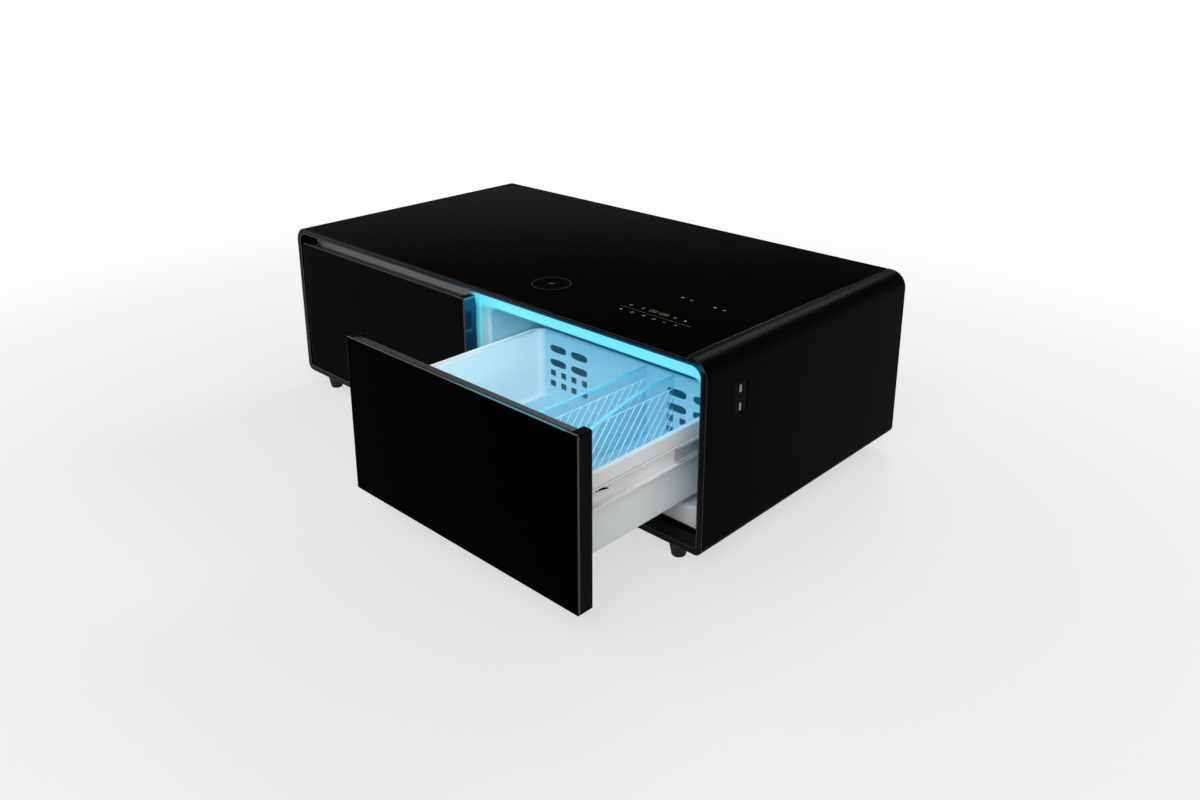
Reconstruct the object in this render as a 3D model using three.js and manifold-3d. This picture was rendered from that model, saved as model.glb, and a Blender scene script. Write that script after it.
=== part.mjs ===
// Refrigerated coffee table: a wrap-around steel cabinet with a glass top and two cooled drawers
// Millimetres, +Z up. X runs from the left side to the right side, Y from the front to the back.
import * as THREE from 'three'
import { mergeVertices } from 'three/addons/utils/BufferGeometryUtils.js'
import Module from 'manifold-3d'

const wasm = await Module()
wasm.setup()

// Overall size
const width = 1300
const depth = 700
const footHeight = 38
const shellHeight = 384
const seat = 0.3 // clearance between pieces that touch
const runningGap = 0.4 // clearance between pieces that slide or turn

// Steel wrap
const sheet = 1.5
const topCorner = 36
const bottomCorner = 18
const frontSetback = 0.4

// Front frame
const frameWall = 15
const frameChamfer = 1.2
const frameTopCorner = 21
const frameBottomCorner = 5
const sillThickness = 3.5
const sillHeight = 6.5

// Glass top
const glassThickness = 4
const glassEdge = 45 // from the cabinet's side to the glass
const glassChamfer = 0.6
const glassCorner = 4

// Light strip
const stripFront = 16
const stripWidth = 12
const stripHeight = 7

// Drawer fronts
const sideGap = 8
const middleGap = 4
const bottomGap = 3
const fingerGap = 24
const frontThickness = 33
const frontGlass = 4
const frontCorner = 5
const slotWidth = 1.7
const slotDepth = 6
const pullWidth = 18
const pullSlope = 2.5
const pullSheet = 1.5
const troughDepth = 9
const capLength = 18

// Seals
const sealThickness = 12
const sealEdge = 2.5 // from the drawer front's side to the seal
const sealRise = 12 // from the drawer front's bottom to the seal
const sealChamfer = 1.5
const sealMargin = 6 // from the mouth of the liner to the seal

// Liners
const linerWall = 2.5
const openingMargin = 27 // from the drawer front's side to the opening
const openingRise = 45 // from the drawer front's bottom to the opening
const openingDrop = 23 // from the drawer front's top to the opening
const openingTopCorner = 20
const openingBottomCorner = 16
const lipRound = 6

// Insulation
const machineRoom = 148 // from the foam's back to the cabinet's back
const foamWall = 22 // behind the liners

// Drawer boxes
const boxGap = 3.5
const boxRise = 16.5 // from the opening's bottom to the box
const boxDrop = 80.5 // from the opening's top to the box
const boxBackGap = 50 // from the box to the liner's back
const boxWall = 3
const boxCorner = 24
const boxFoot = 8
const rimHeight = 28
const ventWidth = 50
const ventHeight = 17.5
const ventSplit = 17
const splitHeight = 15
const ventRows = [39.2, 72.6] // down from the box's top
const splitRows = [98.2, 124]
const ventColumns = [-219, -153, 122, 188] // from the box's middle

// Dividers
const dividerThickness = 2.5
const dividerDrop = 2.5 // from the box's top
const dividerLip = 9
const dividerPlaces = [41, 114] // from the box's middle
const guideThickness = 2.5
const guideDepth = 6
const guideDrop = 134 // from the box's top
const slopeStart = 400 // where the right divider's top begins to fall towards the front
const slopeFall = 97
const slopeBend = 1.42

// Slides
const slideDrop = 49.5 // from the box's top to the slides' middle
const slideHeight = 41
const slideDepth = 14
const slideSheet = 1.2
const slideLip = 4
const railStart = 112
const runnerStart = 140
const slideOver = 5 // behind the box
const carrierStart = 62
const carrierShort = 30 // from the carrier's end to the box's back
const openNow = 294 // how far the right drawer stands open
const leverPlace = 80
const leverRise = 14 // over the slides' middle
const leverLength = 26
const leverGap = 4 // from the box
const leverThickness = 3.5
const leverPin = 2

// Duct covers, evaporators and their fans
const coverThickness = 3
const coverGap = 12 // behind the box
const ductFanDrop = 56 // from the opening's top
const ductFanRadius = 44
const ductFanHub = 15
const ductFanLength = 14
const ductSlotRise = 35 // from the opening's bottom
const ductSlotPitch = 90
const ductSlotWidth = 50
const ductSlotTall = 13
const ductRim = 2
const shaftRadius = 3
const coilLength = 180
const coilDepth = 22
const coilFins = 4
const coilGap = 8 // from the cover, and from the liner's floor
const coilTopGap = 29 // from the coil to the fan's ring
const coilTube = 3
const coilBend = 10
const pipeHole = 5
const jointInset = 11 // from the foam's back to the joint of the pipes

// Machine compartment
const panelThickness = 3
const panelInset = 5
const louvreWidth = 170
const louvreHeight = 6
const louvrePitch = 15
const louvreRows = 6
const louvreRise = 60 // over the cabinet's underside
const compressorX = -340
const compressorRadius = 58
const compressorHeight = 150
const compressorFeet = 14
const machineInset = 73 // from the cabinet's back to the machines' middle
const condenserGap = 12 // from the fan's frame to the condenser
const condenserLength = 92
const condenserWidth = 44
const condenserHeight = 128
const condenserFins = 4
const machineFanX = 125
const machineFanSize = 116
const machineFanRadius = 52
const machineFanHub = 20
const machineFanLength = 18
const machineFanFrame = 25
const controlBoxOffset = 130 // from the inlet to the box's middle
const controlBoxWidth = 150
const controlBoxDepth = 90
const controlBoxHeight = 78
const inletInset = 90 // from the cabinet's side
const inletRise = 46 // over the cabinet's underside
const suctionRise = 110 // over the cabinet's underside

// Charging coil, touch board and charging sockets
const chargerX = 143
const chargerY = 121
const chargerRadius = 42
const chargerThickness = 5
const boardX = 431
const boardY = 120
const boardWidth = 196
const boardDepth = 62
const boardThickness = 8
const pocketMargin = 3
const socketY = 104
const socketDrop = 99 // from the top
const socketWidth = 47
const socketHeight = 70
const socketPitch = 36
const socketBody = 26
const portLong = 13.6
const portShort = 6.2
const portWall = 0.6

// Feet
const footInset = 77
const footBack = 31
const footTopRadius = 20
const footRadius = 14

// Values that follow from those above
const half = width / 2
const foamBack = depth - machineRoom
const linerBack = foamBack - foamWall
const pipeJoint = foamBack - jointInset
const machineY = depth - machineInset
const top = footHeight + shellHeight
const wrapFloor = footHeight + sheet
const innerHalf = half - frameWall
const innerBottom = footHeight + frameWall
const innerTop = top - frameWall
const glassHalf = half - glassEdge
const glassBottom = top - glassThickness
const frontHalf = (2 * innerHalf - 2 * sideGap - middleGap) / 4
const frontBottom = innerBottom + bottomGap
const frontTop = innerTop - fingerGap
const bay = middleGap / 2 + frontHalf // from the cabinet's middle to a drawer's middle
const flangeFront = frontThickness + sealThickness + 2 * seat
const flangeBack = flangeFront + linerWall
const frameDepth = flangeFront - seat
const openingBottom = frontBottom + openingRise
const openingTop = frontTop - openingDrop
const openingHalf = frontHalf - openingMargin
const boxFront = frontThickness + seat
const boxBack = linerBack - boxBackGap
const boxBottom = openingBottom + boxRise
const boxTop = openingTop - boxDrop
const boxRim = openingHalf - boxGap
const slideWall = openingHalf - seat
const boxBody = slideWall - slideDepth - seat
const boxInner = boxBody - boxWall
const dividerTop = boxTop - dividerDrop
const guideTop = boxTop - guideDrop
const slideMiddle = boxTop - slideDrop
const slideEnd = boxBack + slideOver
const carrierEnd = boxBack - carrierShort
const coverFront = boxBack + coverGap
const coverBack = coverFront + coverThickness
const ductFanHeight = openingTop - ductFanDrop
const ductSlotHeight = openingBottom + ductSlotRise
const ringRadius = ductFanRadius + ductRim
const coilFront = coverBack + coilGap
const coilBottom = openingBottom + coilGap
const coilHeight = ductFanHeight - ringRadius - ductRim - coilTopGap - coilBottom
const machineFanEnd = machineFanX + machineFanFrame
const condenserX = machineFanEnd + condenserGap + condenserWidth
const panelFront = depth - panelInset - panelThickness
const inletX = half - inletInset
const controlBoxX = inletX - controlBoxOffset
const inletZ = footHeight + inletRise
const socketZ = top - socketDrop
const coilReach = coilLength / 2 + coilBend
const sideSigns = [['left', -1], ['right', 1]]

// Colours and finishes
const finish = (color, roughness, metalness) =>
  new THREE.MeshStandardMaterial({ color, roughness, metalness })
const blackSteel = finish(0x1c1d1f, 0.45, 0.5)
const blackFrame = finish(0x232426, 0.35, 0.7)
const blackGlass = finish(0x08090a, 0.06, 0)
const blackPlastic = finish(0x151517, 0.5, 0)
const bronzeMetal = finish(0x6b645d, 0.35, 0.9)
const whitePlastic = finish(0xeef2f4, 0.4, 0)
const clearPlastic = finish(0xcfeaf2, 0.08, 0)
const greyRubber = finish(0x9a9da0, 0.85, 0)
const blackRubber = finish(0x101010, 0.85, 0)
const zinc = finish(0xb9bdc0, 0.35, 0.9)
const whiteSteel = finish(0xe4e6e8, 0.4, 0.1)
const paleFoam = finish(0xd9cfae, 0.9, 0)
const copper = finish(0xb87445, 0.35, 0.9)
const finMetal = finish(0xb4b8bb, 0.4, 0.9)
const compressorPaint = finish(0x17181a, 0.5, 0.4)
const cyanLight = finish(0x7fe9ff, 0.3, 0)
const boardGreen = finish(0x1f5137, 0.55, 0)

// Closed meshes, joins and cuts
function closed(geometry) {
  const bare = geometry.clone()
  bare.deleteAttribute('normal')
  bare.deleteAttribute('uv')
  const merged = mergeVertices(bare, 1e-3)
  const position = merged.attributes.position
  const index = merged.index.array
  const kept = []
  const corners = [new THREE.Vector3(), new THREE.Vector3(), new THREE.Vector3()]
  let volume = 0
  for (let i = 0; i < index.length; i += 3) {
    const triangle = [index[i], index[i + 1], index[i + 2]]
    if (new Set(triangle).size < 3) continue
    kept.push(...triangle)
    triangle.forEach((vertex, place) => corners[place].fromBufferAttribute(position, vertex))
    volume += corners[0].dot(corners[1].cross(corners[2]))
  }
  if (volume < 0) kept.reverse()
  merged.setIndex(kept)
  return merged
}

function toSolid(geometry) {
  const mesh = closed(geometry)
  const vertProperties = new Float32Array(mesh.attributes.position.array)
  const triVerts = new Uint32Array(mesh.index.array)
  return new wasm.Manifold(new wasm.Mesh({ numProp: 3, vertProperties, triVerts }))
}

function toGeometry(solid) {
  const mesh = solid.getMesh()
  const geometry = new THREE.BufferGeometry()
  geometry.setAttribute('position', new THREE.BufferAttribute(mesh.vertProperties, 3))
  geometry.setIndex(Array.from(mesh.triVerts))
  return geometry
}

const join = (...parts) => toGeometry(parts.map(toSolid).reduce((sum, part) => sum.add(part)))
const cut = (...parts) => toGeometry(parts.map(toSolid).reduce((rest, tool) => rest.subtract(tool)))
const common = (...parts) => toGeometry(parts.map(toSolid).reduce((rest, part) => rest.intersect(part)))

// Forms: extrusions and bars along an axis, revolved profiles, lofts and tubes
const fine = 3
const coarse = 2

function box(x0, x1, y0, y1, z0, z1) {
  const geometry = new THREE.BoxGeometry(x1 - x0, y1 - y0, z1 - z0)
  return geometry.translate((x0 + x1) / 2, (y0 + y1) / 2, (z0 + z1) / 2)
}

function rounded(x0, x1, z0, z1, lower, upper = lower, Kind = THREE.Shape) {
  const shape = new Kind()
  shape.absarc(x1 - lower, z0 + lower, lower, -Math.PI / 2, 0)
  shape.absarc(x1 - upper, z1 - upper, upper, 0, Math.PI / 2)
  shape.absarc(x0 + upper, z1 - upper, upper, Math.PI / 2, Math.PI)
  shape.absarc(x0 + lower, z0 + lower, lower, Math.PI, 1.5 * Math.PI)
  shape.closePath()
  return shape
}

function clipped(x0, x1, z0, z1, clip) {
  return polygon([
    [x0 + clip, z0], [x1 - clip, z0], [x1, z0 + clip], [x1, z1 - clip],
    [x1 - clip, z1], [x0 + clip, z1], [x0, z1 - clip], [x0, z0 + clip]
  ])
}

const polygon = points => new THREE.Shape(points.map(([x, y]) => new THREE.Vector2(x, y)))

function alongZ(shape, z0, z1, chamfer = 0, curveSegments = fine) {
  const geometry = new THREE.ExtrudeGeometry(shape, {
    depth: z1 - z0 - 2 * chamfer,
    bevelEnabled: chamfer > 0,
    bevelThickness: chamfer,
    bevelSize: chamfer,
    bevelOffset: -chamfer,
    bevelSegments: 1,
    curveSegments
  })
  return geometry.translate(0, 0, z0 + chamfer)
}

// The shape lies in the X-Z plane
function alongY(shape, y0, y1, chamfer = 0, curveSegments = fine) {
  return alongZ(shape, -y1, -y0, chamfer, curveSegments).rotateX(Math.PI / 2)
}

// The shape lies in the Y-Z plane
function alongX(shape, x0, x1, chamfer = 0, curveSegments = fine) {
  const axes = [[0, 1, 0], [0, 0, 1], [1, 0, 0]].map(axis => new THREE.Vector3(...axis))
  return alongZ(shape, x0, x1, chamfer, curveSegments).applyMatrix4(new THREE.Matrix4().makeBasis(...axes))
}

function bar(axis, radius, from, to, [a, b] = [0, 0], count = 20) {
  const geometry = new THREE.CylinderGeometry(radius, radius, to - from, count)
  const middle = (from + to) / 2
  if (axis === 'x') return geometry.rotateZ(-Math.PI / 2).translate(middle, a, b)
  if (axis === 'y') return geometry.translate(a, middle, b)
  return geometry.rotateX(Math.PI / 2).translate(a, b, middle)
}

function revolved(profile, count = 20) {
  const points = profile.map(([r, z]) => new THREE.Vector2(r, z))
  return new THREE.LatheGeometry(points, count).rotateX(Math.PI / 2)
}

// A skin through rings of equally many points, closed by a fan at each end
function loft(rings) {
  const count = rings[0].length
  const positions = rings.flat().flatMap(point => [point.x, point.y, point.z])
  const last = (rings.length - 1) * count
  const index = []
  for (let start = 0; start < last; start += count) {
    for (let i = 0; i < count; i++) {
      const here = start + i
      const next = start + (i + 1) % count
      index.push(here, next, next + count, here, next + count, here + count)
    }
  }
  for (let i = 1; i < count - 1; i++) {
    index.push(0, i + 1, i, last, last + i, last + i + 1)
  }
  const geometry = new THREE.BufferGeometry()
  geometry.setAttribute('position', new THREE.Float32BufferAttribute(positions, 3))
  geometry.setIndex(index)
  return geometry
}

// A route through given points, with its corners rounded
class Route extends THREE.Curve {
  constructor(corners, bend) {
    super()
    const stops = corners.map(corner => new THREE.Vector3(...corner))
    this.stops = [stops[0]]
    for (let i = 1; i < stops.length - 1; i++) {
      const into = stops[i - 1].clone().sub(stops[i]).setLength(bend).add(stops[i])
      const out = stops[i + 1].clone().sub(stops[i]).setLength(bend).add(stops[i])
      this.stops.push(...new THREE.QuadraticBezierCurve3(into, stops[i], out).getPoints(2))
    }
    this.stops.push(stops.at(-1))
  }

  getPointAt(part) {
    return this.stops[Math.round(part * (this.stops.length - 1))].clone()
  }

  getTangentAt(part) {
    const place = Math.round(part * (this.stops.length - 1))
    const before = this.stops[Math.max(place - 1, 0)]
    const after = this.stops[Math.min(place + 1, this.stops.length - 1)]
    return after.clone().sub(before).normalize()
  }
}

function tube(corners, radius, bend = 2.5 * radius) {
  const extrudePath = new Route(corners, bend)
  const section = new THREE.Shape()
  section.absarc(0, 0, radius, 0, 2 * Math.PI)
  const steps = extrudePath.stops.length - 1
  return new THREE.ExtrudeGeometry(section, { extrudePath, steps, curveSegments: 3 })
}

// Assembly: each drawer, and the middle member of its slides, is a group that moves along Y
const table = new THREE.Group()
const cabinet = new THREE.Group()
table.add(cabinet)
table.position.y = (openNow - depth) / 2

function add(group, name, geometry, material) {
  const mesh = new THREE.Mesh(closed(geometry), material)
  mesh.name = name
  group.add(mesh)
  return mesh
}

// Steel wrap: one folded section, stepped down under the glass
function wrapOutline(inset, Kind = THREE.Shape) {
  const lower = bottomCorner - inset
  const upper = topCorner - inset
  const stepX = glassHalf + seat + inset
  const stepZ = glassBottom - seat - inset
  const shape = new Kind()
  shape.absarc(half - bottomCorner, footHeight + bottomCorner, lower, -Math.PI / 2, 0)
  shape.absarc(half - topCorner, top - topCorner, upper, 0, Math.PI / 2)
  shape.lineTo(stepX, top - inset)
  shape.lineTo(stepX, stepZ)
  shape.lineTo(-stepX, stepZ)
  shape.lineTo(-stepX, top - inset)
  shape.absarc(topCorner - half, top - topCorner, upper, Math.PI / 2, Math.PI)
  shape.absarc(bottomCorner - half, footHeight + bottomCorner, lower, Math.PI, 1.5 * Math.PI)
  shape.closePath()
  return shape
}

function boardRoom(margin, z0, z1) {
  const reachX = boardWidth / 2 + margin
  const reachY = boardDepth / 2 + margin
  return box(boardX - reachX, boardX + reachX, boardY - reachY, boardY + reachY, z0, z1)
}

function socketRoom(margin, x0, x1) {
  const reachY = socketWidth / 2 + margin
  const reachZ = socketHeight / 2 + margin
  const outline = rounded(socketY - reachY, socketY + reachY, socketZ - reachZ, socketZ + reachZ, 4 + margin)
  return alongX(outline, x0, x1, 0, coarse)
}

const chargerRoom = (margin, z0, z1) => bar('z', chargerRadius + margin, z0, z1, [chargerX, chargerY], 16)

function cabinetShell() {
  const section = wrapOutline(0)
  section.holes.push(wrapOutline(sheet, THREE.Path))
  const wrap = alongY(section, frontSetback, depth)
  const windows = [chargerRoom(pocketMargin, innerTop, top), boardRoom(pocketMargin, innerTop, top)]
  return cut(wrap, ...windows, socketRoom(seat, half - 2 * sheet, half + sheet))
}
add(cabinet, 'cabinet_shell', cabinetShell(), blackSteel)

// Front frame: the deep black rim round both drawers, with a sill and a groove for the light
function frontFrame() {
  const section = wrapOutline(sheet + seat)
  const inner = [-innerHalf, innerHalf, innerBottom, innerTop]
  section.holes.push(rounded(...inner, frameBottomCorner, frameTopCorner, THREE.Path))
  const ring = alongY(section, 0, frameDepth, frameChamfer)
  const sill = box(-innerHalf - 1, innerHalf + 1, frameDepth - sillThickness, frameDepth,
    innerBottom - 1, innerBottom + sillHeight)
  const groove = box(
    -glassHalf, glassHalf, stripFront, stripFront + stripWidth, innerTop - 1, innerTop + stripHeight)
  return cut(join(ring, sill), groove)
}
add(cabinet, 'front_frame', frontFrame(), blackFrame)

function lightStrip() {
  const reach = glassHalf - seat
  const [y0, y1] = [stripFront + seat, stripFront + stripWidth - seat]
  const [z0, z1] = [innerTop, innerTop + stripHeight - seat]
  const lens = polygon([[y0, z0 + 2], [y0 + 3, z0], [y1 - 3, z0], [y1, z0 + 2], [y1, z1], [y0, z1]])
  return alongX(lens, -reach, reach)
}
add(cabinet, 'light_strip', lightStrip(), cyanLight)

const glassPlan = rounded(-glassHalf, glassHalf, seat, depth - seat, glassCorner)
add(cabinet, 'glass_top', alongZ(glassPlan, glassBottom, top, glassChamfer, coarse), blackGlass)

// Liners: a flange, a rounded mouth and a deep tub for each drawer
function openingRing(centre, grow, y) {
  const outline = rounded(
    centre - openingHalf - grow, centre + openingHalf + grow, openingBottom - grow, openingTop + grow,
    openingBottomCorner + grow, openingTopCorner + grow
  )
  return outline.getPoints(fine).slice(0, -1).map(point => new THREE.Vector3(point.x, y, point.y))
}

const pipePlaces = [
  { x: coilReach, z: coilBottom + coilHeight * 0.1 },
  { x: -coilReach, z: coilBottom + coilHeight * 0.9 }
]

const pipeHoles = (centre, y0, y1) =>
  pipePlaces.map(({ x, z }) => bar('y', pipeHole, y0, y1, [centre + x, z], 12))

// The mouth's round: how far the opening has grown at each step into the lip
function mouthRings(centre, round, start) {
  const lipEnd = flangeFront + lipRound
  const turns = [0, 0.35, 0.65, 1].map(part => part * Math.PI / 2)
  const rings = turns.map(turn =>
    openingRing(centre, lipRound - round * Math.sin(turn), lipEnd - round * Math.cos(turn)))
  return [openingRing(centre, lipRound, start), ...rings]
}

function liner(sign) {
  const centre = sign * bay
  const edges = [seat, innerHalf - seat].map(edge => sign * edge).sort((a, b) => a - b)
  const plate = rounded(...edges, innerBottom + sillHeight + seat, innerTop - seat, 4)
  const flange = alongY(plate, flangeFront, flangeBack, 0, coarse)
  const outer = loft([
    ...mouthRings(centre, lipRound - linerWall, flangeBack - 0.5),
    openingRing(centre, linerWall, linerBack + linerWall)
  ])
  const hollow = loft([...mouthRings(centre, lipRound, flangeFront - 1), openingRing(centre, 0, linerBack)])
  return cut(join(flange, outer), hollow, ...pipeHoles(centre, linerBack - 1, linerBack + linerWall + 1))
}
for (const [side, sign] of sideSigns) {
  add(cabinet, `liner_${side}`, liner(sign), whitePlastic)
}

// Insulation: foam between the wrap and the liners, with pockets for what lies in it
function insulation() {
  const front = flangeBack + seat
  const block = alongY(wrapOutline(sheet + seat), front, foamBack)
  const bays = sideSigns.flatMap(([, sign]) => {
    const wall = linerWall + seat
    const rings = [
      openingRing(sign * bay, lipRound + seat, front - 1),
      openingRing(sign * bay, lipRound + seat, flangeFront + lipRound - 1),
      openingRing(sign * bay, wall, flangeFront + lipRound + 1),
      openingRing(sign * bay, wall, linerBack + wall)
    ]
    return [loft(rings), ...pipeHoles(sign * bay, linerBack, foamBack + 1)]
  })
  const pockets = [
    chargerRoom(pocketMargin, glassBottom - chargerThickness - 2 * seat, top),
    boardRoom(pocketMargin, glassBottom - boardThickness - 2 * seat, top),
    socketRoom(1, half - socketBody - 6, half)
  ]
  return cut(block, ...bays, ...pockets)
}
add(cabinet, 'insulation', insulation(), paleFoam)

// Duct covers: slotted plates behind the drawers, each with its fan's ring, struts and shaft
const aroundFan = (geometry, centre) => geometry.translate(centre, 0, ductFanHeight)
const ringBack = coverBack + ductFanLength + 6

function ductCover(centre) {
  const plate = loft([openingRing(centre, -seat, coverFront), openingRing(centre, -seat, coverBack)])
  const place = [centre, ductFanHeight]
  const ring = bar('y', ringRadius + ductRim, coverFront, ringBack, place, 24)
  const mouth = bar('y', ringRadius, coverFront - 1, ringBack + 1, place, 24)
  const slots = [-2, -1, 0, 1, 2].map(step => {
    const x = centre + step * ductSlotPitch
    const reach = ductSlotWidth / 2
    const top = ductSlotHeight + ductSlotTall
    const slot = clipped(x - reach, x + reach, ductSlotHeight, top, ductSlotTall / 3)
    return alongY(slot, coverFront - 1, coverBack + 1)
  })
  const struts = [0, 1, 2].map(turn => {
    const strut = box(-2, 2, coverFront, coverBack, ductFanHub - 2, ringRadius + 1)
    return aroundFan(strut.rotateY(turn * 2 * Math.PI / 3), centre)
  })
  const hub = bar('y', ductFanHub, coverFront, coverBack, place, 16)
  const shaft = bar('y', shaftRadius, coverFront + 1, coverBack + ductFanLength + 2, place, 12)
  const ledges = [-1, 1].map(sign => {
    const x = centre + sign * coilLength / 3
    return box(x - 2, x + 2, coverFront + 1, coilFront + coilDepth, openingBottom + seat, coilBottom - seat)
  })
  return join(cut(join(plate, ring), mouth, ...slots), ...struts, hub, shaft, ...ledges)
}

// Rotors: twisted blades on a hub, turning on a fixed shaft
function rotor(radius, hub, length, blades) {
  const parts = [bar('z', hub, 0, length, [0, 0], 16)]
  const section = [[-0.5, 0], [-0.1, -1.1], [0.5, -0.2], [-0.1, 0.7]]
  for (let blade = 0; blade < blades; blade++) {
    const rings = [0, 0.5, 1].map(part => {
      const reach = hub - 2 + part * (radius - hub + 2)
      const pitch = THREE.MathUtils.degToRad(45 - 20 * part)
      const chord = length * (1 + 0.5 * part)
      return section.map(([along, off]) => {
        const across = along * chord * Math.cos(pitch) - off * Math.sin(pitch)
        const rise = along * chord * Math.sin(pitch) + off * Math.cos(pitch)
        return new THREE.Vector3(reach, across, length / 2 + rise)
      })
    })
    parts.push(loft(rings).rotateZ(blade * 2 * Math.PI / blades))
  }
  return cut(join(...parts), bar('z', shaftRadius + runningGap, -1, length + 1, [0, 0], 12))
}

// Finned coils: upright plates on a tube that runs to and fro, with a lead and a tail
function finnedCoil(length, across, height, fins, passes, lead, tail) {
  const reach = length / 2 + coilBend
  const passHeight = pass => height * (0.1 + 0.8 * pass / (passes - 1))
  const corners = [...lead]
  for (let pass = 0; pass < passes; pass++) {
    const start = pass % 2 ? -reach : reach
    corners.push([start, across / 2, passHeight(pass)], [-start, across / 2, passHeight(pass)])
  }
  corners.push(...tail)
  const plates = []
  for (let fin = 0; fin < fins; fin++) {
    const x = length * (fin / (fins - 1) - 0.5)
    plates.push(box(x - 0.5, x + 0.5, 0, across, 0, height))
  }
  return join(tube(corners, coilTube), ...plates)
}

const evaporatorFan = rotor(ductFanRadius, ductFanHub, ductFanLength, 7)
for (const [side, sign] of sideSigns) {
  const centre = sign * bay
  add(cabinet, `duct_cover_${side}`, ductCover(centre), whitePlastic)

  const joint = pipeJoint - seat / 2 - coilFront
  const [inlet, outlet] = pipePlaces.map(({ x, z }) => [x, joint, z - coilBottom])
  const evaporator = finnedCoil(coilLength, coilDepth, coilHeight, coilFins, 3, [inlet], [outlet])
  add(cabinet, `evaporator_${side}`, evaporator, finMetal).position.set(centre, coilFront, coilBottom)

  const fan = add(cabinet, `duct_fan_${side}`, evaporatorFan, blackPlastic)
  fan.rotation.x = -Math.PI / 2
  fan.position.set(centre, coverBack + seat, ductFanHeight)
}

// Machine compartment: compressor, condenser with its fan, pipes, control box, rear panel, inlet
const compressorTop = wrapFloor + compressorFeet + compressorHeight

function compressor() {
  const [z0, z1] = [wrapFloor + compressorFeet, compressorTop]
  const r = compressorRadius
  const body = revolved([
    [0, z0], [0.7 * r, z0 + 2], [0.93 * r, z0 + 14], [r, z0 + 30], [r, z0 + 74], [r + 2.5, z0 + 76],
    [r + 2.5, z0 + 81], [r, z0 + 83], [0.97 * r, z1 - 34], [0.84 * r, z1 - 14], [0.5 * r, z1], [0, z1]
  ], 16)
  const parts = [body]
  for (const [a, b] of [[-1, -1], [1, -1], [1, 1], [-1, 1]]) {
    const place = [0.98 * a * r, 0.78 * b * r]
    parts.push(bar('z', 8, wrapFloor + seat, z0 + 2, place, 8))
  }
  const plate = clipped(-1.15 * r, 1.15 * r, -0.95 * r, 0.95 * r, 8)
  parts.push(alongZ(plate, z0 - 2, z0 + 3))
  parts.push(box(-20, 20, -r - 12, 0, z0 + 20, z0 + 58))
  return join(...parts).translate(compressorX, machineY, 0)
}
add(cabinet, 'compressor', compressor(), compressorPaint)

function machineFanHolder() {
  const reach = machineFanSize / 2
  const z = wrapFloor + seat + reach
  const end = machineFanEnd
  const outline = rounded(machineY - reach, machineY + reach, z - reach, z + reach, 6)
  const frame = alongX(outline, machineFanX, end, 0, 1)
  const mouth = bar('x', machineFanRadius + 2, machineFanX - 1, end + 1, [machineY, z], 24)
  const struts = [0, 1, 2, 3].map(turn => {
    const strut = box(end - 3, end, -3, 3, machineFanHub - 2, reach - 3)
    return strut.rotateX((turn + 0.5) * Math.PI / 2).translate(0, machineY, z)
  })
  const hub = bar('x', machineFanHub, end - 3, end, [machineY, z], 16)
  const shaft = bar('x', shaftRadius, end - machineFanLength - 5, end - 1, [machineY, z], 12)
  return join(cut(frame, mouth), ...struts, hub, shaft)
}
add(cabinet, 'condenser_fan_frame', machineFanHolder(), blackPlastic)
const machineRotor = rotor(machineFanRadius, machineFanHub, machineFanLength, 7)
const machineFan = add(cabinet, 'condenser_fan', machineRotor, blackPlastic)
machineFan.rotation.y = -Math.PI / 2
machineFan.position.set(machineFanEnd - 3 - seat, machineY, wrapFloor + seat + machineFanSize / 2)

// The condenser's tube goes on over the fan to the compressor
const condenserBottom = wrapFloor + seat
const condenserEnd = condenserLength / 2 + coilBend
const stubZ = condenserBottom + 0.1 * condenserHeight
const stubReach = 14

function condenser() {
  const intoCoil = (x, y, z) => [y - machineY, condenserX - x, z - condenserBottom]
  const domeX = compressorX + 0.25 * compressorRadius
  const over = compressorTop + 30
  const tail = [
    intoCoil(condenserX - condenserWidth / 2, machineY + condenserEnd, over),
    intoCoil(domeX, machineY + condenserEnd, over),
    intoCoil(domeX, machineY, over),
    intoCoil(domeX, machineY, compressorTop + seat)
  ]
  const lead = [intoCoil(condenserX + stubReach, machineY + condenserEnd, stubZ)]
  const coil = finnedCoil(condenserLength, condenserWidth, condenserHeight, condenserFins, 4, lead, tail)
  return coil.rotateZ(Math.PI / 2).translate(condenserX, machineY, condenserBottom)
}
add(cabinet, 'condenser', condenser(), copper)

// Pipes: liquid through the drier to both evaporators, and vapour back to the compressor
const pipeRun = foamBack + 6
const [capillary, suction] = pipePlaces
const jointY = pipeJoint + seat / 2

function pipeAcross({ x, z }, radius) {
  const ends = [-bay + x, bay + x]
  const corners = [[ends[0], jointY, z], [ends[0], pipeRun, z], [ends[1], pipeRun, z], [ends[1], jointY, z]]
  return tube(corners, radius)
}

function liquidLine() {
  const y = machineY + condenserEnd
  const start = condenserX + stubReach + seat
  const turn = start + 96
  const path = [[start, y, stubZ], [turn, y, stubZ], [turn, pipeRun, stubZ], [turn, pipeRun, capillary.z]]
  const main = tube(path, 2)
  const drier = revolved([[0, 0], [3, 0], [9, 8], [9, 52], [3, 60], [0, 60]], 12)
  drier.rotateY(Math.PI / 2).translate(start + 18, y, stubZ)
  return join(main, drier, pipeAcross(capillary, 2))
}
add(cabinet, 'liquid_line', liquidLine(), copper)

function suctionLine() {
  const z = footHeight + suctionRise
  const wall = machineY - compressorRadius - seat
  const path = [[compressorX, pipeRun, suction.z], [compressorX, pipeRun, z], [compressorX, wall, z]]
  const main = tube(path, coilTube)
  return join(main, pipeAcross(suction, coilTube))
}
add(cabinet, 'suction_line', suctionLine(), copper)

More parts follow.
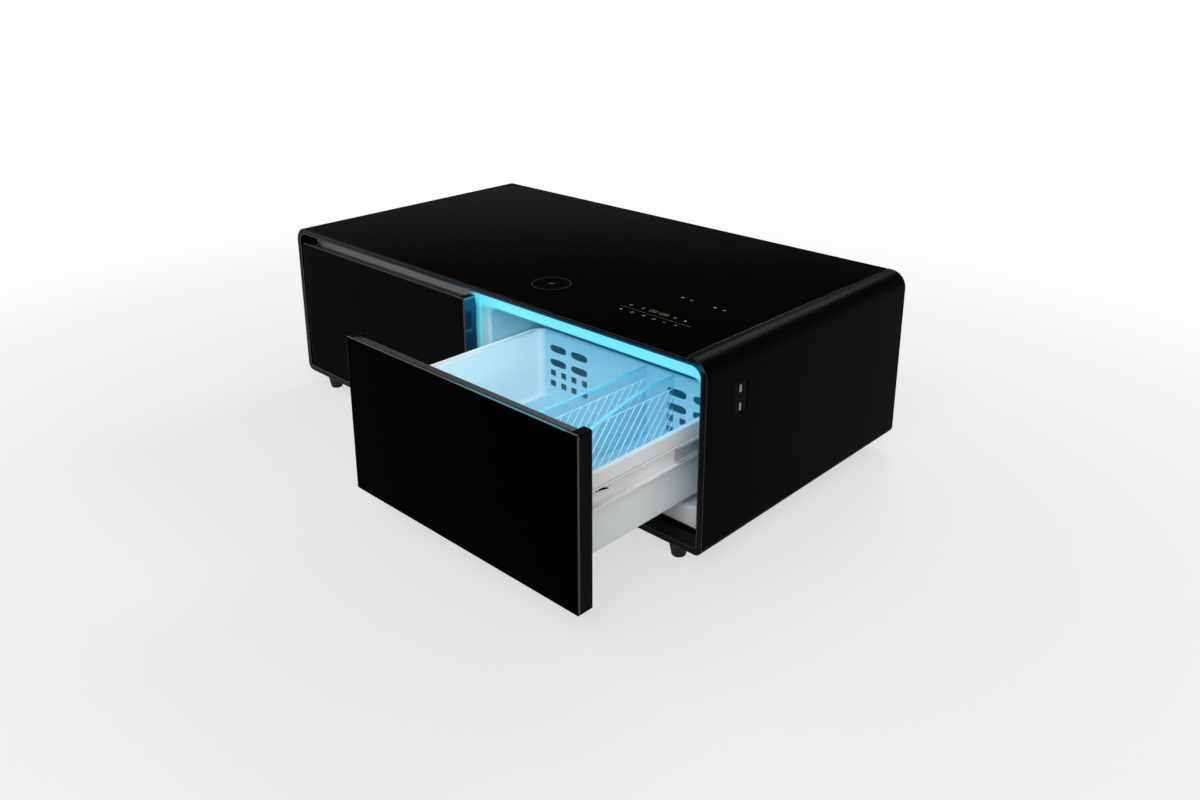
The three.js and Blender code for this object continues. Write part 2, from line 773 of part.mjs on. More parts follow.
function controlBox() {
  const [reachX, reachY] = [controlBoxWidth / 2, controlBoxDepth / 2]
  const plan = rounded(controlBoxX - reachX, controlBoxX + reachX, machineY - reachY, machineY + reachY, 6)
  return alongZ(plan, wrapFloor + seat, wrapFloor + controlBoxHeight, 1.5, 1)
}
add(cabinet, 'control_box', controlBox(), blackPlastic)

const panelBack = panelFront + panelThickness

function rearPanel() {
  const plate = alongY(wrapOutline(sheet + seat), panelFront, panelBack)
  const slots = []
  for (const middle of [compressorX, machineFanX]) {
    for (let row = 0; row < louvreRows; row++) {
      const reach = louvreWidth / 2
      const z = footHeight + louvreRise + row * louvrePitch
      const slot = clipped(middle - reach, middle + reach, z, z + louvreHeight, louvreHeight / 3)
      slots.push(alongY(slot, panelFront - 1, panelBack + 1))
    }
  }
  const window = box(inletX - 14.5, inletX + 14.5, panelFront - 1, panelBack + 1, inletZ - 11, inletZ + 11)
  return cut(plate, ...slots, window)
}
add(cabinet, 'rear_panel', rearPanel(), blackSteel)

// Appliance inlet: a shrouded cavity with three flat pins
function powerInlet() {
  const face = panelBack + seat + 2.2
  const around = (reachX, reachZ, radius) =>
    rounded(inletX - reachX, inletX + reachX, inletZ - reachZ, inletZ + reachZ, radius)
  const flange = alongY(around(25, 12, 4), panelBack + seat, face, 0, 1)
  const body = alongY(around(14, 10.5, 2), face - 26, face, 0, 1)
  const cavity = alongY(around(12, 8.3, 2), face - 16.5, face + 1, 0, 1)
  const pins = [[-7, -1.5], [0, 2.5], [7, -1.5]].map(([x, z]) =>
    box(inletX + x - 1, inletX + x + 1, face - 18, face - 4, inletZ + z - 2, inletZ + z + 2))
  return join(cut(join(flange, body), cavity), ...pins)
}
add(cabinet, 'power_inlet', powerInlet(), blackPlastic)

// Under the glass: charging coil on its plate, and the touch board with its display block
function chargerCoil() {
  const z0 = glassBottom - seat - chargerThickness
  const profile = [[0, z0], [chargerRadius, z0], [chargerRadius, z0 + 2], [chargerRadius - 4, z0 + 2]]
  for (let r = chargerRadius - 4; r > 18; r -= 8) {
    profile.push([r, glassBottom - seat], [r - 6, glassBottom - seat], [r - 6, z0 + 3], [r - 8, z0 + 3])
  }
  profile.push([14, z0 + 2], [0, z0 + 2])
  return revolved(profile, 16).translate(chargerX, chargerY, 0)
}
add(cabinet, 'charging_coil', chargerCoil(), copper)

function touchBoard() {
  const z1 = glassBottom - seat
  const board = boardRoom(0, z1 - 1.6, z1)
  const display = box(boardX - 40, boardX + 8, boardY - 4, boardY + 16, z1 - 7, z1 - 1)
  const plug = box(boardX + 60, boardX + 84, boardY - 26, boardY - 14, z1 - boardThickness, z1 - 1)
  return join(board, display, plug)
}
add(cabinet, 'touch_board', touchBoard(), boardGreen)

// Charging sockets: a bezel let into the right side, and two ports standing on a board
const portPlaces = [-1, 1].map(sign => socketZ + sign * socketPitch / 2)

function portRoom(margin, x0, x1) {
  const [reachY, reachZ] = [portShort / 2 + margin, portLong / 2 + margin]
  return portPlaces.map(z => box(x0, x1, socketY - reachY, socketY + reachY, z - reachZ, z + reachZ))
}

function socketBezel() {
  const body = socketRoom(0, half - socketBody, half - seat)
  const recess = socketRoom(-3, half - 2.5, half + 1)
  return cut(body, recess, ...portRoom(seat, half - socketBody - 1, half))
}
add(cabinet, 'socket_bezel', socketBezel(), blackPlastic)

function chargingPorts() {
  const back = half - socketBody - seat
  const face = half - 3
  const board = box(back - 1.6, back, socketY - 16, socketY + 16, socketZ - 31, socketZ + 31)
  const shells = portRoom(0, back - 1, face)
  const rooms = portRoom(-portWall, back, face + 1)
  const tongues = portRoom(0, back - 1, face - 3).map((tongue, place) => {
    const [low, high] = [portPlaces[place] - 5.5, portPlaces[place] + 5.5]
    return common(tongue, box(back - 1, face, socketY - 2, socketY, low, high))
  })
  return join(cut(join(board, ...shells), ...rooms), ...tongues)
}
add(cabinet, 'charging_ports', chargingPorts(), zinc)

// Slides: rolled sections nested in each other, given as depth from the drawer box and height
const mirrored = points => [...points, ...points.map(([u, v]) => [u, -v]).reverse()]
const carrierLip = slideDepth - 3
const middleStart = slideSheet + runningGap + seat
const middleEnd = slideDepth - slideSheet - runningGap
const railFree = middleStart + slideSheet + runningGap + 1
const carrierHigh = slideHeight / 2
const middleHigh = carrierHigh - slideLip - runningGap
const railHigh = middleHigh - slideLip - runningGap
const raceHigh = slideLip - slideSheet

const carrierSection = mirrored([
  [0, carrierHigh], [carrierLip, carrierHigh], [carrierLip, carrierHigh - slideLip],
  [carrierLip - slideSheet, carrierHigh - slideLip], [carrierLip - slideSheet, carrierHigh - slideSheet],
  [slideSheet, carrierHigh - slideSheet]
])
const middleSection = mirrored([
  [middleStart, middleHigh], [middleStart + 1.5, middleHigh], [middleStart + 2, middleHigh + raceHigh],
  [carrierLip - slideSheet - runningGap - 0.5, middleHigh + raceHigh],
  [carrierLip - slideSheet - runningGap, middleHigh], [middleEnd, middleHigh],
  [middleEnd, middleHigh - slideLip], [middleEnd - slideSheet, middleHigh - slideLip],
  [middleEnd - slideSheet, middleHigh - slideSheet], [middleStart + slideSheet, middleHigh - slideSheet]
])
const railSection = mirrored([
  [slideDepth, railHigh], [middleEnd - slideSheet - runningGap, railHigh],
  [middleEnd - slideSheet - runningGap - 0.5, railHigh + raceHigh],
  [railFree + 0.5, railHigh + raceHigh], [railFree, railHigh],
  [railFree, railHigh - slideSheet], [slideDepth - slideSheet, railHigh - slideSheet]
])

function slideMember(section, boxX, hand, y0, y1) {
  return alongY(polygon(section.map(([u, v]) => [boxX + hand * u, slideMiddle + v])), y0, y1)
}

function carrier(boxX, hand) {
  const member = slideMember(carrierSection, boxX, hand, carrierStart, carrierEnd)
  const ends = [slideSheet / 2, leverGap + leverThickness + 1].map(u => boxX + hand * u).sort((a, b) => a - b)
  return join(member, bar('x', leverPin, ...ends, [leverPlace, slideMiddle + leverRise], 12))
}

// Release lever: a slender arm on the carrier's pin, hooked up in front and down behind
function lever(boxX, hand) {
  const arm = polygon([
    [-7.4, 3.2], [-6.2, 0.4], [-3.6, -2.6], [0, -3.8], [6, -4], [16, -5.8], [leverLength, -8.2],
    [leverLength + 2, -7], [16, -2.8], [8, 0.2], [3, 2.8], [0, 3.6], [-3, 3], [-5.6, 3.8]
  ])
  const [x0, x1] = [leverGap, leverGap + leverThickness].map(u => boxX + hand * u).sort((a, b) => a - b)
  const hole = bar('x', leverPin + runningGap, x0 - 1, x1 + 1, [0, 0], 12)
  return cut(alongX(arm, x0, x1), hole).translate(0, leverPlace, slideMiddle + leverRise)
}

// Drawer fronts: glass, a black shell with a slot, a metal pull over a finger trough, and a seal
const pullStart = frontGlass + slotWidth + seat
const pullEnd = pullStart + pullWidth
const troughFloor = frontTop - troughDepth
const pullUnder = frontTop - pullSheet
const pullFall = pullSlope * (pullWidth - pullSheet) / pullWidth

function frontOutline(centre) {
  return rounded(centre - frontHalf, centre + frontHalf, frontBottom, frontTop, 2, frontCorner)
}

function frontShell(centre) {
  const y0 = frontGlass + seat
  const behindLip = pullEnd - pullSheet - seat
  const section = polygon([
    [y0, frontBottom], [frontThickness, frontBottom], [frontThickness, troughFloor],
    [behindLip, troughFloor], [behindLip, pullUnder - pullFall - seat], [pullStart, pullUnder - seat],
    [pullStart, frontTop - slotDepth], [y0, frontTop - slotDepth]
  ])
  const whole = alongY(frontOutline(centre), y0, frontThickness, 0, coarse)
  const reach = frontHalf - capLength
  const ends = [-1, 1].map(sign => {
    const [x0, x1] = [sign * reach, sign * (frontHalf + 1)].sort((a, b) => a - b)
    return common(whole, box(centre + x0, centre + x1, 0, frontThickness + 1, frontBottom - 1, frontTop + 1))
  })
  return join(common(whole, alongX(section, centre - frontHalf, centre + frontHalf)), ...ends)
}

function pullStrip(centre) {
  const reach = frontHalf - capLength - seat
  const section = polygon([
    [pullStart, frontTop], [pullEnd, frontTop - pullSlope], [pullEnd, troughFloor + seat],
    [pullEnd - pullSheet, troughFloor + seat], [pullEnd - pullSheet, pullUnder - pullFall],
    [pullStart, pullUnder]
  ])
  return alongX(section, centre - reach, centre + reach)
}

function seal(centre) {
  const margin = sealMargin + lipRound
  const [outer, inner] = [frontHalf - sealEdge, openingHalf + margin]
  const [z0, z1] = [frontBottom + sealRise, troughFloor - seat]
  const ring = rounded(centre - outer, centre + outer, z0, z1, 6)
  const inside = [centre - inner, centre + inner, openingBottom - margin, openingTop + lipRound]
  ring.holes.push(rounded(...inside, 4, 4, THREE.Path))
  return alongY(ring, frontThickness + seat, flangeFront - runningGap, sealChamfer, 1)
}

// Drawer boxes: a moulded tub with hollow rims, air slots in its back and guides for the dividers
function planShape(centre, reach, y0, y1, front, back) {
  return rounded(centre - reach, centre + reach, y0, y1, front, back)
}

// A slot is as high as it says in its middle and lower at its ends
function ventSlots(centre) {
  const slots = []
  const addSlot = (x, drop, slotWide, high) => {
    const [z, reach, rise] = [boxTop - drop, slotWide / 2, high / 2]
    if (z - rise < boxBottom + boxWall + boxFoot) return
    const upper = [[-1, 0.5], [-0.62, 1], [0.62, 1], [1, 0.5]]
    const around = [...upper, ...upper.map(([u, v]) => [u, -v]).reverse()]
    const outline = polygon(around.map(([u, v]) => [x + u * reach, z + v * rise]))
    slots.push(alongY(outline, boxBack - boxWall - 1, boxBack + 1))
  }
  for (const column of ventColumns) {
    const x = centre + column
    const part = (ventWidth - ventSplit) / 2
    ventRows.forEach(drop => addSlot(x, drop, ventWidth, ventHeight))
    splitRows.forEach(drop => [-1, 1].forEach(hand =>
      addSlot(x + hand * (part + ventSplit) / 2, drop, part, splitHeight)))
  }
  return slots
}

function drawerBox(centre) {
  const floor = boxBottom + boxWall
  const outerBack = boxCorner + boxWall
  const outerSection = rounded(centre - boxBody, centre + boxBody, boxBottom, boxTop, boxFoot, 1)
  const rounding = alongY(outerSection, boxFront, boxBack, 0, coarse)
  const outline = planShape(centre, boxBody, boxFront, boxBack, 4, outerBack)
  const plan = alongZ(outline, boxBottom, boxTop, 0, coarse)
  const rimPlan = planShape(centre, boxRim, boxFront, boxBack, 2, outerBack)
  const rim = alongZ(rimPlan, boxTop - rimHeight, boxTop, 0, coarse)
  const hollows = [-1, 1].map(sign => {
    const [x0, x1] = [boxBody, boxRim - boxWall].map(x => centre + sign * x).sort((a, b) => a - b)
    return box(x0, x1, boxFront - 1, boxBack - outerBack, boxTop - rimHeight - 1, boxTop - boxWall)
  })
  const roomPlan = planShape(centre, boxInner, boxFront + boxWall, boxBack - boxWall, 8, boxCorner)
  const roomSection = rounded(centre - boxInner, centre + boxInner, floor, boxTop + 20, boxFoot - 2)
  const room = common(
    alongZ(roomPlan, floor, boxTop + 1, 0, coarse), alongY(roomSection, boxFront, boxBack, 0, coarse))
  const tub = cut(join(common(rounding, plan), rim), ...hollows, room, ...ventSlots(centre))
  const guides = dividerPlaces.flatMap(place => [-1, 1].flatMap(hand => {
    const inner = centre + place + hand * (dividerThickness / 2 + seat)
    const [x0, x1] = [inner, inner + hand * guideThickness].sort((a, b) => a - b)
    const ends = [
      [boxFront + 1, boxFront + boxWall + guideDepth], [boxBack - boxWall - guideDepth, boxBack - 1]
    ]
    return ends.map(([y0, y1]) => box(x0, x1, y0, y1, floor - 1, guideTop))
  }))
  return join(tub, ...guides)
}

// Divider: a thin plate under a wider lip; the right one's top falls in a curve to the front
function divider(x, fall) {
  const [y0, y1] = [boxFront + boxWall + seat, boxBack - boxWall - seat]
  const floor = boxBottom + boxWall + seat
  const height = y => dividerTop - fall * Math.max(0, (slopeStart - y) / (slopeStart - y0)) ** slopeBend
  const slope = [0, 1, 2, 3, 4, 5, 6].map(i => slopeStart + (y0 - slopeStart) * i / 6)
  const steps = fall ? [y1, ...slope] : [y1, y0]
  const line = drop => steps.map(y => [y, height(y) - drop])
  const plate = polygon([[y0, floor], [y1, floor], ...line(dividerThickness / 2)])
  const band = polygon([...line(dividerThickness).reverse(), ...line(0)])
  const [blade, lip] = [dividerThickness / 2, dividerLip / 2]
  return join(alongX(plate, x - blade, x + blade), alongX(band, x - lip, x + lip))
}

for (const [side, sign] of sideSigns) {
  const centre = sign * bay
  const open = sign > 0 ? openNow : 0
  const drawer = new THREE.Group()
  drawer.position.y = -open
  const runner = new THREE.Group()
  runner.position.y = -open / 2
  table.add(drawer, runner)

  const pane = alongY(frontOutline(centre), 0, frontGlass, glassChamfer, coarse)
  add(drawer, `front_glass_${side}`, pane, blackGlass)
  add(drawer, `front_shell_${side}`, frontShell(centre), blackPlastic)
  add(drawer, `pull_strip_${side}`, pullStrip(centre), bronzeMetal)
  add(drawer, `seal_${side}`, seal(centre), greyRubber)
  add(drawer, `drawer_box_${side}`, drawerBox(centre), whitePlastic)
  dividerPlaces.forEach((place, number) => {
    add(drawer, `divider_${side}_${number + 1}`, divider(centre + place, number * slopeFall), clearPlastic)
  })
  for (const [hand, name] of [[-1, 'left'], [1, 'right']]) {
    const boxX = centre + hand * (slideWall - slideDepth)
    const rail = slideMember(railSection, boxX, hand, railStart, slideEnd)
    add(cabinet, `slide_rail_${side}_${name}`, rail, zinc)
    const middle = slideMember(middleSection, boxX, hand, runnerStart, slideEnd)
    add(runner, `slide_middle_${side}_${name}`, middle, zinc)
    add(drawer, `slide_carrier_${side}_${name}`, carrier(boxX, hand), whiteSteel)
    add(drawer, `slide_lever_${side}_${name}`, lever(boxX, hand), blackPlastic)
  }
}

// Feet: tapered pads under the cabinet's corners
const footPad = revolved([
  [0, 0], [footRadius - 1, 0], [footRadius, 1], [footTopRadius, footHeight - 8],
  [footTopRadius, footHeight - seat], [0, footHeight - seat]
], 16)
for (const [side, sign] of sideSigns) {
  for (const [end, y] of [['front', footBack], ['rear', depth - footBack]]) {
    add(cabinet, `foot_${end}_${side}`, footPad, blackRubber).position.set(sign * (half - footInset), y, 0)
  }
}

export default table
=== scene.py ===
import bpy, bmesh, math
from mathutils import Matrix, Vector


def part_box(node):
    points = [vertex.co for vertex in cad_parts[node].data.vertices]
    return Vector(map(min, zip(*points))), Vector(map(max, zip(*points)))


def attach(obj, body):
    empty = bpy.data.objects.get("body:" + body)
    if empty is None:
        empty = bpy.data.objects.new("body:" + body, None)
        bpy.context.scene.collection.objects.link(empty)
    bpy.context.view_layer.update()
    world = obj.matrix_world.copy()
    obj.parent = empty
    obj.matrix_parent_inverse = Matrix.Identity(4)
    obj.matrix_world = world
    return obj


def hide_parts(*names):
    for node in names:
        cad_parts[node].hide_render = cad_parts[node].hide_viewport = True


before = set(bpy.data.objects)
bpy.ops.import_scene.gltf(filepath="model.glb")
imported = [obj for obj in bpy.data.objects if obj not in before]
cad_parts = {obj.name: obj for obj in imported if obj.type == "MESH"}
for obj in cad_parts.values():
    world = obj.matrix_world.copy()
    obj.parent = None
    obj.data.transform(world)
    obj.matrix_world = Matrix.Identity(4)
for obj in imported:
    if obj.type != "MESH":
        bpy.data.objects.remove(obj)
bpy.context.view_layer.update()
scene = bpy.context.scene
print("stage: frame loaded")

# Lengths are in millimetres, with Y measured back from the plane of the closed drawer fronts
mm = 0.001
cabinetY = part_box("front_frame")[0].y / mm
drawerY = {side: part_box(f"front_glass_{side}")[0].y / mm for side in ("left", "right")}
runnerY = {side: (cabinetY + drawerY[side]) / 2 for side in drawerY}
sideSigns = (("left", -1), ("right", 1))
bay = 314.5              # from the cabinet's middle to a drawer's middle

# A drawer's front and its box, whose finishes follow these sizes too
front = {
    "half": 312.5, "bottom": 56, "top": 383, "thickness": 33, "glass": 4, "cap": 18,
    "paneCorner": 3, "corner": 5, "innerCorner": 0.4,
}
boxSizes = {
    "body": 270.9, "inner": 267.9, "rim": 282, "bottom": 117.5, "top": 279.5, "front": 33.3, "back": 480,
    "wall": 3, "corner": 24, "foot": 8, "rimHeight": 28, "rimRound": 6.5, "edge": 2.2,
}


# Shader sums
class Value:
    # a socket that adds its own Math node when it is used in a sum
    def __init__(self, shader, socket):
        self.shader, self.socket = shader, socket

    def __add__(self, other):
        return self.shader.math("ADD", self, other)

    def __sub__(self, other):
        return self.shader.math("SUBTRACT", self, other)

    def __rsub__(self, other):
        return self.shader.math("SUBTRACT", other, self)

    def __mul__(self, other):
        return self.shader.math("MULTIPLY", self, other)

    def __pow__(self, other):
        return self.shader.math("POWER", self, other)

    __radd__ = __add__
    __rmul__ = __mul__


class Shader:
    # adds nodes to an emptied tree, of a material or the world
    def __init__(self, owner):
        owner.use_nodes = True
        self.tree = owner.node_tree
        self.tree.nodes.clear()

    def put(self, socket, value):
        if isinstance(value, Value):
            self.tree.links.new(value.socket, socket)
        elif isinstance(value, (tuple, list)) and len(value) == 3 and len(socket.default_value) == 4:
            socket.default_value = (*value, 1)
        else:
            socket.default_value = value

    def node(self, kind, settings=None, inputs=None, output=0):
        made = self.tree.nodes.new("ShaderNode" + kind)
        for key, value in (settings or {}).items():
            if key == "stops":             # where and how light each stop of a ramp is
                stops = made.color_ramp.elements
                stops[0].position, stops[1].position = value[0][0], value[-1][0]
                for where, grey in value[1:-1]:
                    stops.new(where)
                for stop, (where, grey) in zip(stops, value):
                    stop.color = (grey, grey, grey, 1)
            else:
                setattr(made, key, value)
        for key, value in (inputs or {}).items():
            self.put(made.inputs[key], value)
        return Value(self, made.outputs[output]) if made.outputs else made

    def math(self, operation, first, second=0.5, clamp=False):
        return self.node("Math", {"operation": operation, "use_clamp": clamp}, {0: first, 1: second})

    def spot(self, scale=(1, 1, 1), middle=(0, 0, 0)):
        where = self.node("TexCoord", output="Object")
        shift = tuple(-m * s for m, s in zip(middle, scale))
        return self.node("Mapping", None, {"Vector": where, "Location": shift, "Scale": scale})

    def axis(self, name, middle=(0, 0, 0)):
        return self.node("SeparateXYZ", None, {0: self.spot(middle=middle)}, name)

    def noise(self, scale, detail=3, rough=0.5, stretch=(1, 1, 1)):
        return self.node("TexNoise", None, {
            "Vector": self.spot(stretch), "Scale": scale, "Detail": detail, "Roughness": rough})

    def cells(self, scale):
        return self.node("TexVoronoi", {"feature": "F1"}, {"Vector": self.spot(), "Scale": scale})

    def blend(self, factor, first, second):
        return self.node("Mix", {"data_type": "RGBA"}, {0: factor, 6: first, 7: second}, 2)

    def step(self, value, low, high):
        return self.node("MapRange", {"interpolation_type": "SMOOTHSTEP"}, {0: value, 1: low, 2: high, 3: 0.0, 4: 1.0})

    def rise(self, value, low, high, origin=0):
        # from 0 to 1 between two places, in millimetres
        return self.step(value, (origin + low) * mm, (origin + high) * mm)

    def fall(self, value, low, high, origin=0):
        return 1 - self.rise(value, low, high, origin)

    def shade(self, pattern, low, high, colour, factor):
        # a colour that varies between itself and a lighter or darker one
        return self.blend(self.step(pattern, low, high), colour, tuple(c * factor for c in colour))

    def bump(self, height, strength, distance):
        return self.node("Bump", None, {"Height": height, "Strength": strength, "Distance": distance})


class Finish(Shader):
    # a material with its main shader, whose sockets set() fills
    names = {
        "colour": "Base Color", "rough": "Roughness", "metal": "Metallic", "normal": "Normal", "alpha": "Alpha",
        "glow": "Emission Color", "glowStrength": "Emission Strength", "ior": "IOR", "shine": "Specular IOR Level",
        "soft": "Subsurface Weight", "softReach": "Subsurface Radius", "softScale": "Subsurface Scale",
    }

    def __init__(self, name):
        self.material = bpy.data.materials.new(name)
        super().__init__(self.material)
        self.output = self.node("OutputMaterial")
        self.shader = self.tree.nodes.new("ShaderNodeBsdfPrincipled")
        self.tree.links.new(self.shader.outputs[0], self.output.inputs[0])

    def glowWhere(self, reach, colour, strength=1.0):
        self.set(glow=self.blend(reach, (0, 0, 0), colour), glowStrength=strength)

    def set(self, **values):
        for key, value in values.items():
            self.put(self.shader.inputs[self.names[key]], value)
        return self.material


def coatedSteel(name, colour, rough, grain=0.05, shine=0.06):
    # powder coat: fine orange peel, a little uneven, with faint dust
    f = Finish(name)
    peel = f.noise(620, 2, 0.55)
    broad = f.noise(7, 3, 0.5)
    return f.set(
        colour=f.shade(broad, 0.35, 0.7, colour, 1.35), rough=rough - 0.05 + broad * 0.09 + peel * 0.03,
        normal=f.bump(peel, grain, 0.0006), shine=shine)


# painted highlights of a pane: a pale edge band, and a cyan line along its top that is a painted reflection of the
# light strip
paneHighlights = {
    "band": (-1.3, -0.7), "tone": (0.075, 0.073, 0.07), "lineStart": (260, 420), "lineEnd": (590, 606),
    "line": (0.0, 0.2, 0.28),
}


def darkGlass(name, shine, tones, ground=False):
    # black glass with faint smears; a pane gets a pale edge band, a painted highlight, and along its top a painted cyan
    # reflection of the light strip
    f = Finish(name)
    marks = f.step(f.noise(5.5, 5, 0.62, (1, 2.2, 1)), 0.5, 0.78)
    tone = f.blend(marks, (tones[0],) * 3, (tones[1],) * 3)
    # a pane: painted highlight on its edge band, painted reflection of the strip along its top
    if ground:
        e, across = paneHighlights, f.axis("X")
        inward = f.math("ABSOLUTE", f.math("ABSOLUTE", across) - bay * mm)
        sides, top = f.rise(inward, *e["band"], front["half"]), f.rise(f.axis("Z"), *e["band"], front["top"])
        tone = f.blend(f.math("MAXIMUM", sides, top), tone, e["tone"])
        f.glowWhere(top * f.rise(across, *e["lineStart"]) * f.fall(across, *e["lineEnd"]), e["line"])
    return f.set(colour=tone, rough=0.025 + marks * 0.05, shine=shine, ior=1.5)


def mouldedPlastic(name, colour, rough, grainScale=900, grain=0.08, shine=0.35):
    f = Finish(name)
    grains = f.noise(grainScale, 2, 0.6)
    return f.set(
        colour=f.shade(f.noise(9, 2, 0.5), 0.3, 0.75, colour, 1.22), rough=rough + grains * 0.06,
        normal=f.bump(grains, grain, 0.0004), shine=shine)


def brushedMetal(name, colour, rough, stretch, lighter=1.35):
    # fine lines along one axis, with a slow change of sheen
    f = Finish(name)
    fine = f.noise(55, 4, 0.7, stretch)
    slow = f.noise(2.2, 2, 0.5)
    return f.set(
        colour=f.shade(fine, 0.25, 0.8, colour, lighter), rough=rough + fine * 0.16 + slow * 0.05, metal=0.92,
        normal=f.bump(fine, 0.05, 0.0003))


def zincSteel(name, colour, rough, metal=0.75):
    f = Finish(name)
    fine = f.noise(70, 4, 0.6, (1, 0.12, 1))
    return f.set(
        colour=f.shade(f.cells(160.0), 0.1, 0.7, colour, 0.86), rough=rough + fine * 0.12, metal=metal,
        normal=f.bump(fine, 0.04, 0.0003))


def whiteMoulding(name, light=None):
    # white moulded plastic; where the strip's light reaches, its colour is painted in as a tint and a glow, and a
    # darker band can be painted in as shade
    f = Finish(name)
    satin = f.noise(420, 2, 0.55)
    broad = f.noise(6, 3, 0.5)
    tone = f.blend(f.step(broad, 0.35, 0.75), (0.80, 0.82, 0.83), (0.86, 0.875, 0.885))
    if light:
        reach, glow, *pale = light["reach"](f)
        tone = f.blend(reach * light["share"], tone, light["tint"])
        # painted shade: a darker grey towards the left
        if "dull" in light:
            tone = f.blend(f.fall(f.axis("X"), *light["dullEnd"]) * light["dull"], tone, (0.2, 0.2, 0.2))
        f.glowWhere(glow, f.blend(pale[0], light["glow"], light["pale"]) if pale else light["glow"])
    return f.set(
        colour=tone, rough=0.3 + satin * 0.08 + broad * 0.05, normal=f.bump(satin, 0.04, 0.0003), shine=0.45,
        soft=0.06, softReach=(0.6, 0.8, 1.0), softScale=0.004)


# painted light of the strip on the liners: where its tint and glow go
linerPaintedLight = {
    "up": (60, 190), "inwards": (-70, -20), "paleStart": (3, 10), "paleEnd": (30, 60), "paleTop": (325, 370),
    "edgeStart": (-30, -12), "edgeEnd": (2, 9), "edgeUp": (120, 300), "flange": (48, 58), "strip": (352, 372),
    "stripStart": (-45, 12), "wallUp": (120, 400), "wallStart": (-30, 0), "wallFade": (20, 200),
    "paleShare": 0.4, "stripGlow": 0.84, "edgeGlow": 0.35, "wallGlow": 0.16, "nearGlow": 0.1, "behind": 0.2,
}


def linerPaintedMask(f):
    # painted light of the strip: tint and glow all the way round the open drawer's mouth, and strongest under the strip
    s = linerPaintedLight
    high, across, depth = f.axis("Z"), f.axis("X"), f.axis("Y")
    reach = f.rise(high, *s["up"]) * f.rise(across, *s["inwards"])
    pale = f.rise(across, *s["paleStart"]) * f.fall(across, *s["paleEnd"]) * f.fall(high, *s["paleTop"])
    edge = f.rise(across, *s["edgeStart"]) * f.fall(across, *s["edgeEnd"]) * f.rise(high, *s["edgeUp"])
    strip = f.rise(high, *s["strip"]) * f.rise(across, *s["stripStart"])
    fade = s["wallGlow"] + s["nearGlow"] * f.fall(across, *s["wallFade"])
    wall = f.rise(high, *s["wallUp"]) * f.rise(across, *s["wallStart"]) * fade
    ahead = s["behind"] + f.fall(depth, *s["flange"], cabinetY) * (1 - s["behind"])
    return reach * (1 - pale * s["paleShare"]), (strip * s["stripGlow"] + wall + edge * s["edgeGlow"]) * ahead


def sealPaintedMask(f):
    # painted light of the strip: only the end that stands beside the open drawer
    end = f.rise(f.axis("X"), -7, -5)
    return end, end * f.rise(f.axis("Z"), 60, 380)


def ductPaintedMask(f):
    # painted light of the strip: tint and glow above a height
    reach = f.rise(f.axis("Z"), 60, 120)
    return reach, reach


# painted light of the strip on the open drawer's box
boxPaintedLight = {
    "inside": (0.8, 1.8), "above": (1, 2), "ahead": (-1.4, -0.8), "rim": (-1.2, -0.5), "rimStart": (-70, 0),
    "deepStart": 60, "glowStart": 20, "left": (-266, -250), "rimFront": 0.2, "tintFront": 0.4, "tintDeep": 0.5,
    "tintLeft": 0.8, "glowLow": 0.45, "glowHigh": 0.55, "glowEven": 0.66, "glowLeft": 0.5,
}


def boxPaintedMask(f):
    # painted light of the strip: tint and glow on the inner faces, and on the top of the rim close to the cabinet
    b, s, middle, y = boxSizes, boxPaintedLight, (bay * mm, 0, 0), drawerY["right"]
    across, high, depth = f.math("ABSOLUTE", f.axis("X", middle)), f.axis("Z"), f.axis("Y")
    inside = f.fall(across, *s["inside"], b["inner"]) * f.rise(high, *s["above"], b["bottom"])
    inside = inside * f.fall(depth, *s["ahead"], y + b["back"])
    near = s["rimFront"] + (1 - s["rimFront"]) * f.rise(depth, *s["rimStart"], cabinetY)
    lit = f.math("MAXIMUM", inside, f.rise(high, *s["rim"], b["top"]) * near)
    deep = f.rise(depth, b["front"] + s["deepStart"], b["back"], y)
    left = f.fall(f.axis("X", middle), *s["left"])
    glow = s["glowLow"] + f.rise(high, b["bottom"] + s["glowStart"], b["top"]) * s["glowHigh"]
    tint = lit * (s["tintFront"] + deep * s["tintDeep"]) * (1 - left * s["tintLeft"])
    return tint, lit * glow * (s["glowEven"] + left * s["glowLeft"]), left


def clearPlastic(name, colour, cover, glow=(0, 0, 0)):
    # see-through moulding, slightly hazy; a given glow is painted light of the strip
    f = Finish(name)
    haze = f.noise(14, 3, 0.5)
    edge = f.node("LayerWeight", None, {"Blend": 0.35}, "Facing")
    return f.set(
        colour=f.blend(haze, tuple(c * 0.85 for c in colour), colour), rough=0.05 + haze * 0.05, shine=0.5,
        alpha=f.math("ADD", edge * 0.12, cover, clamp=True), glow=f.blend(haze, glow, tuple(c * 1.2 for c in glow)),
        glowStrength=1.0)


def rubber(name, colour, rough=0.72, light=None):
    f = Finish(name)
    grains = f.noise(1300, 2, 0.6)
    dust = f.noise(30, 4, 0.65)
    tone = f.blend(f.step(dust, 0.45, 0.8), colour, tuple(c * 1.5 + 0.01 for c in colour))
    if light:
        # painted light: tint and glow where the mask reaches
        reach, glow = light["reach"](f)
        tone = f.blend(reach * light["share"], tone, light["tint"])
        f.glowWhere(glow, light["glow"])
    return f.set(colour=tone, rough=rough + dust * 0.15, normal=f.bump(grains, 0.12, 0.0004), shine=0.3)


def foam(name):
    f = Finish(name)
    cells = f.cells(260.0)
    tone = f.blend(f.step(cells, 0.1, 0.8), (0.62, 0.55, 0.38), (0.78, 0.71, 0.53))
    return f.set(colour=tone, rough=0.92, normal=f.bump(cells, 0.5, 0.002), shine=0.2)


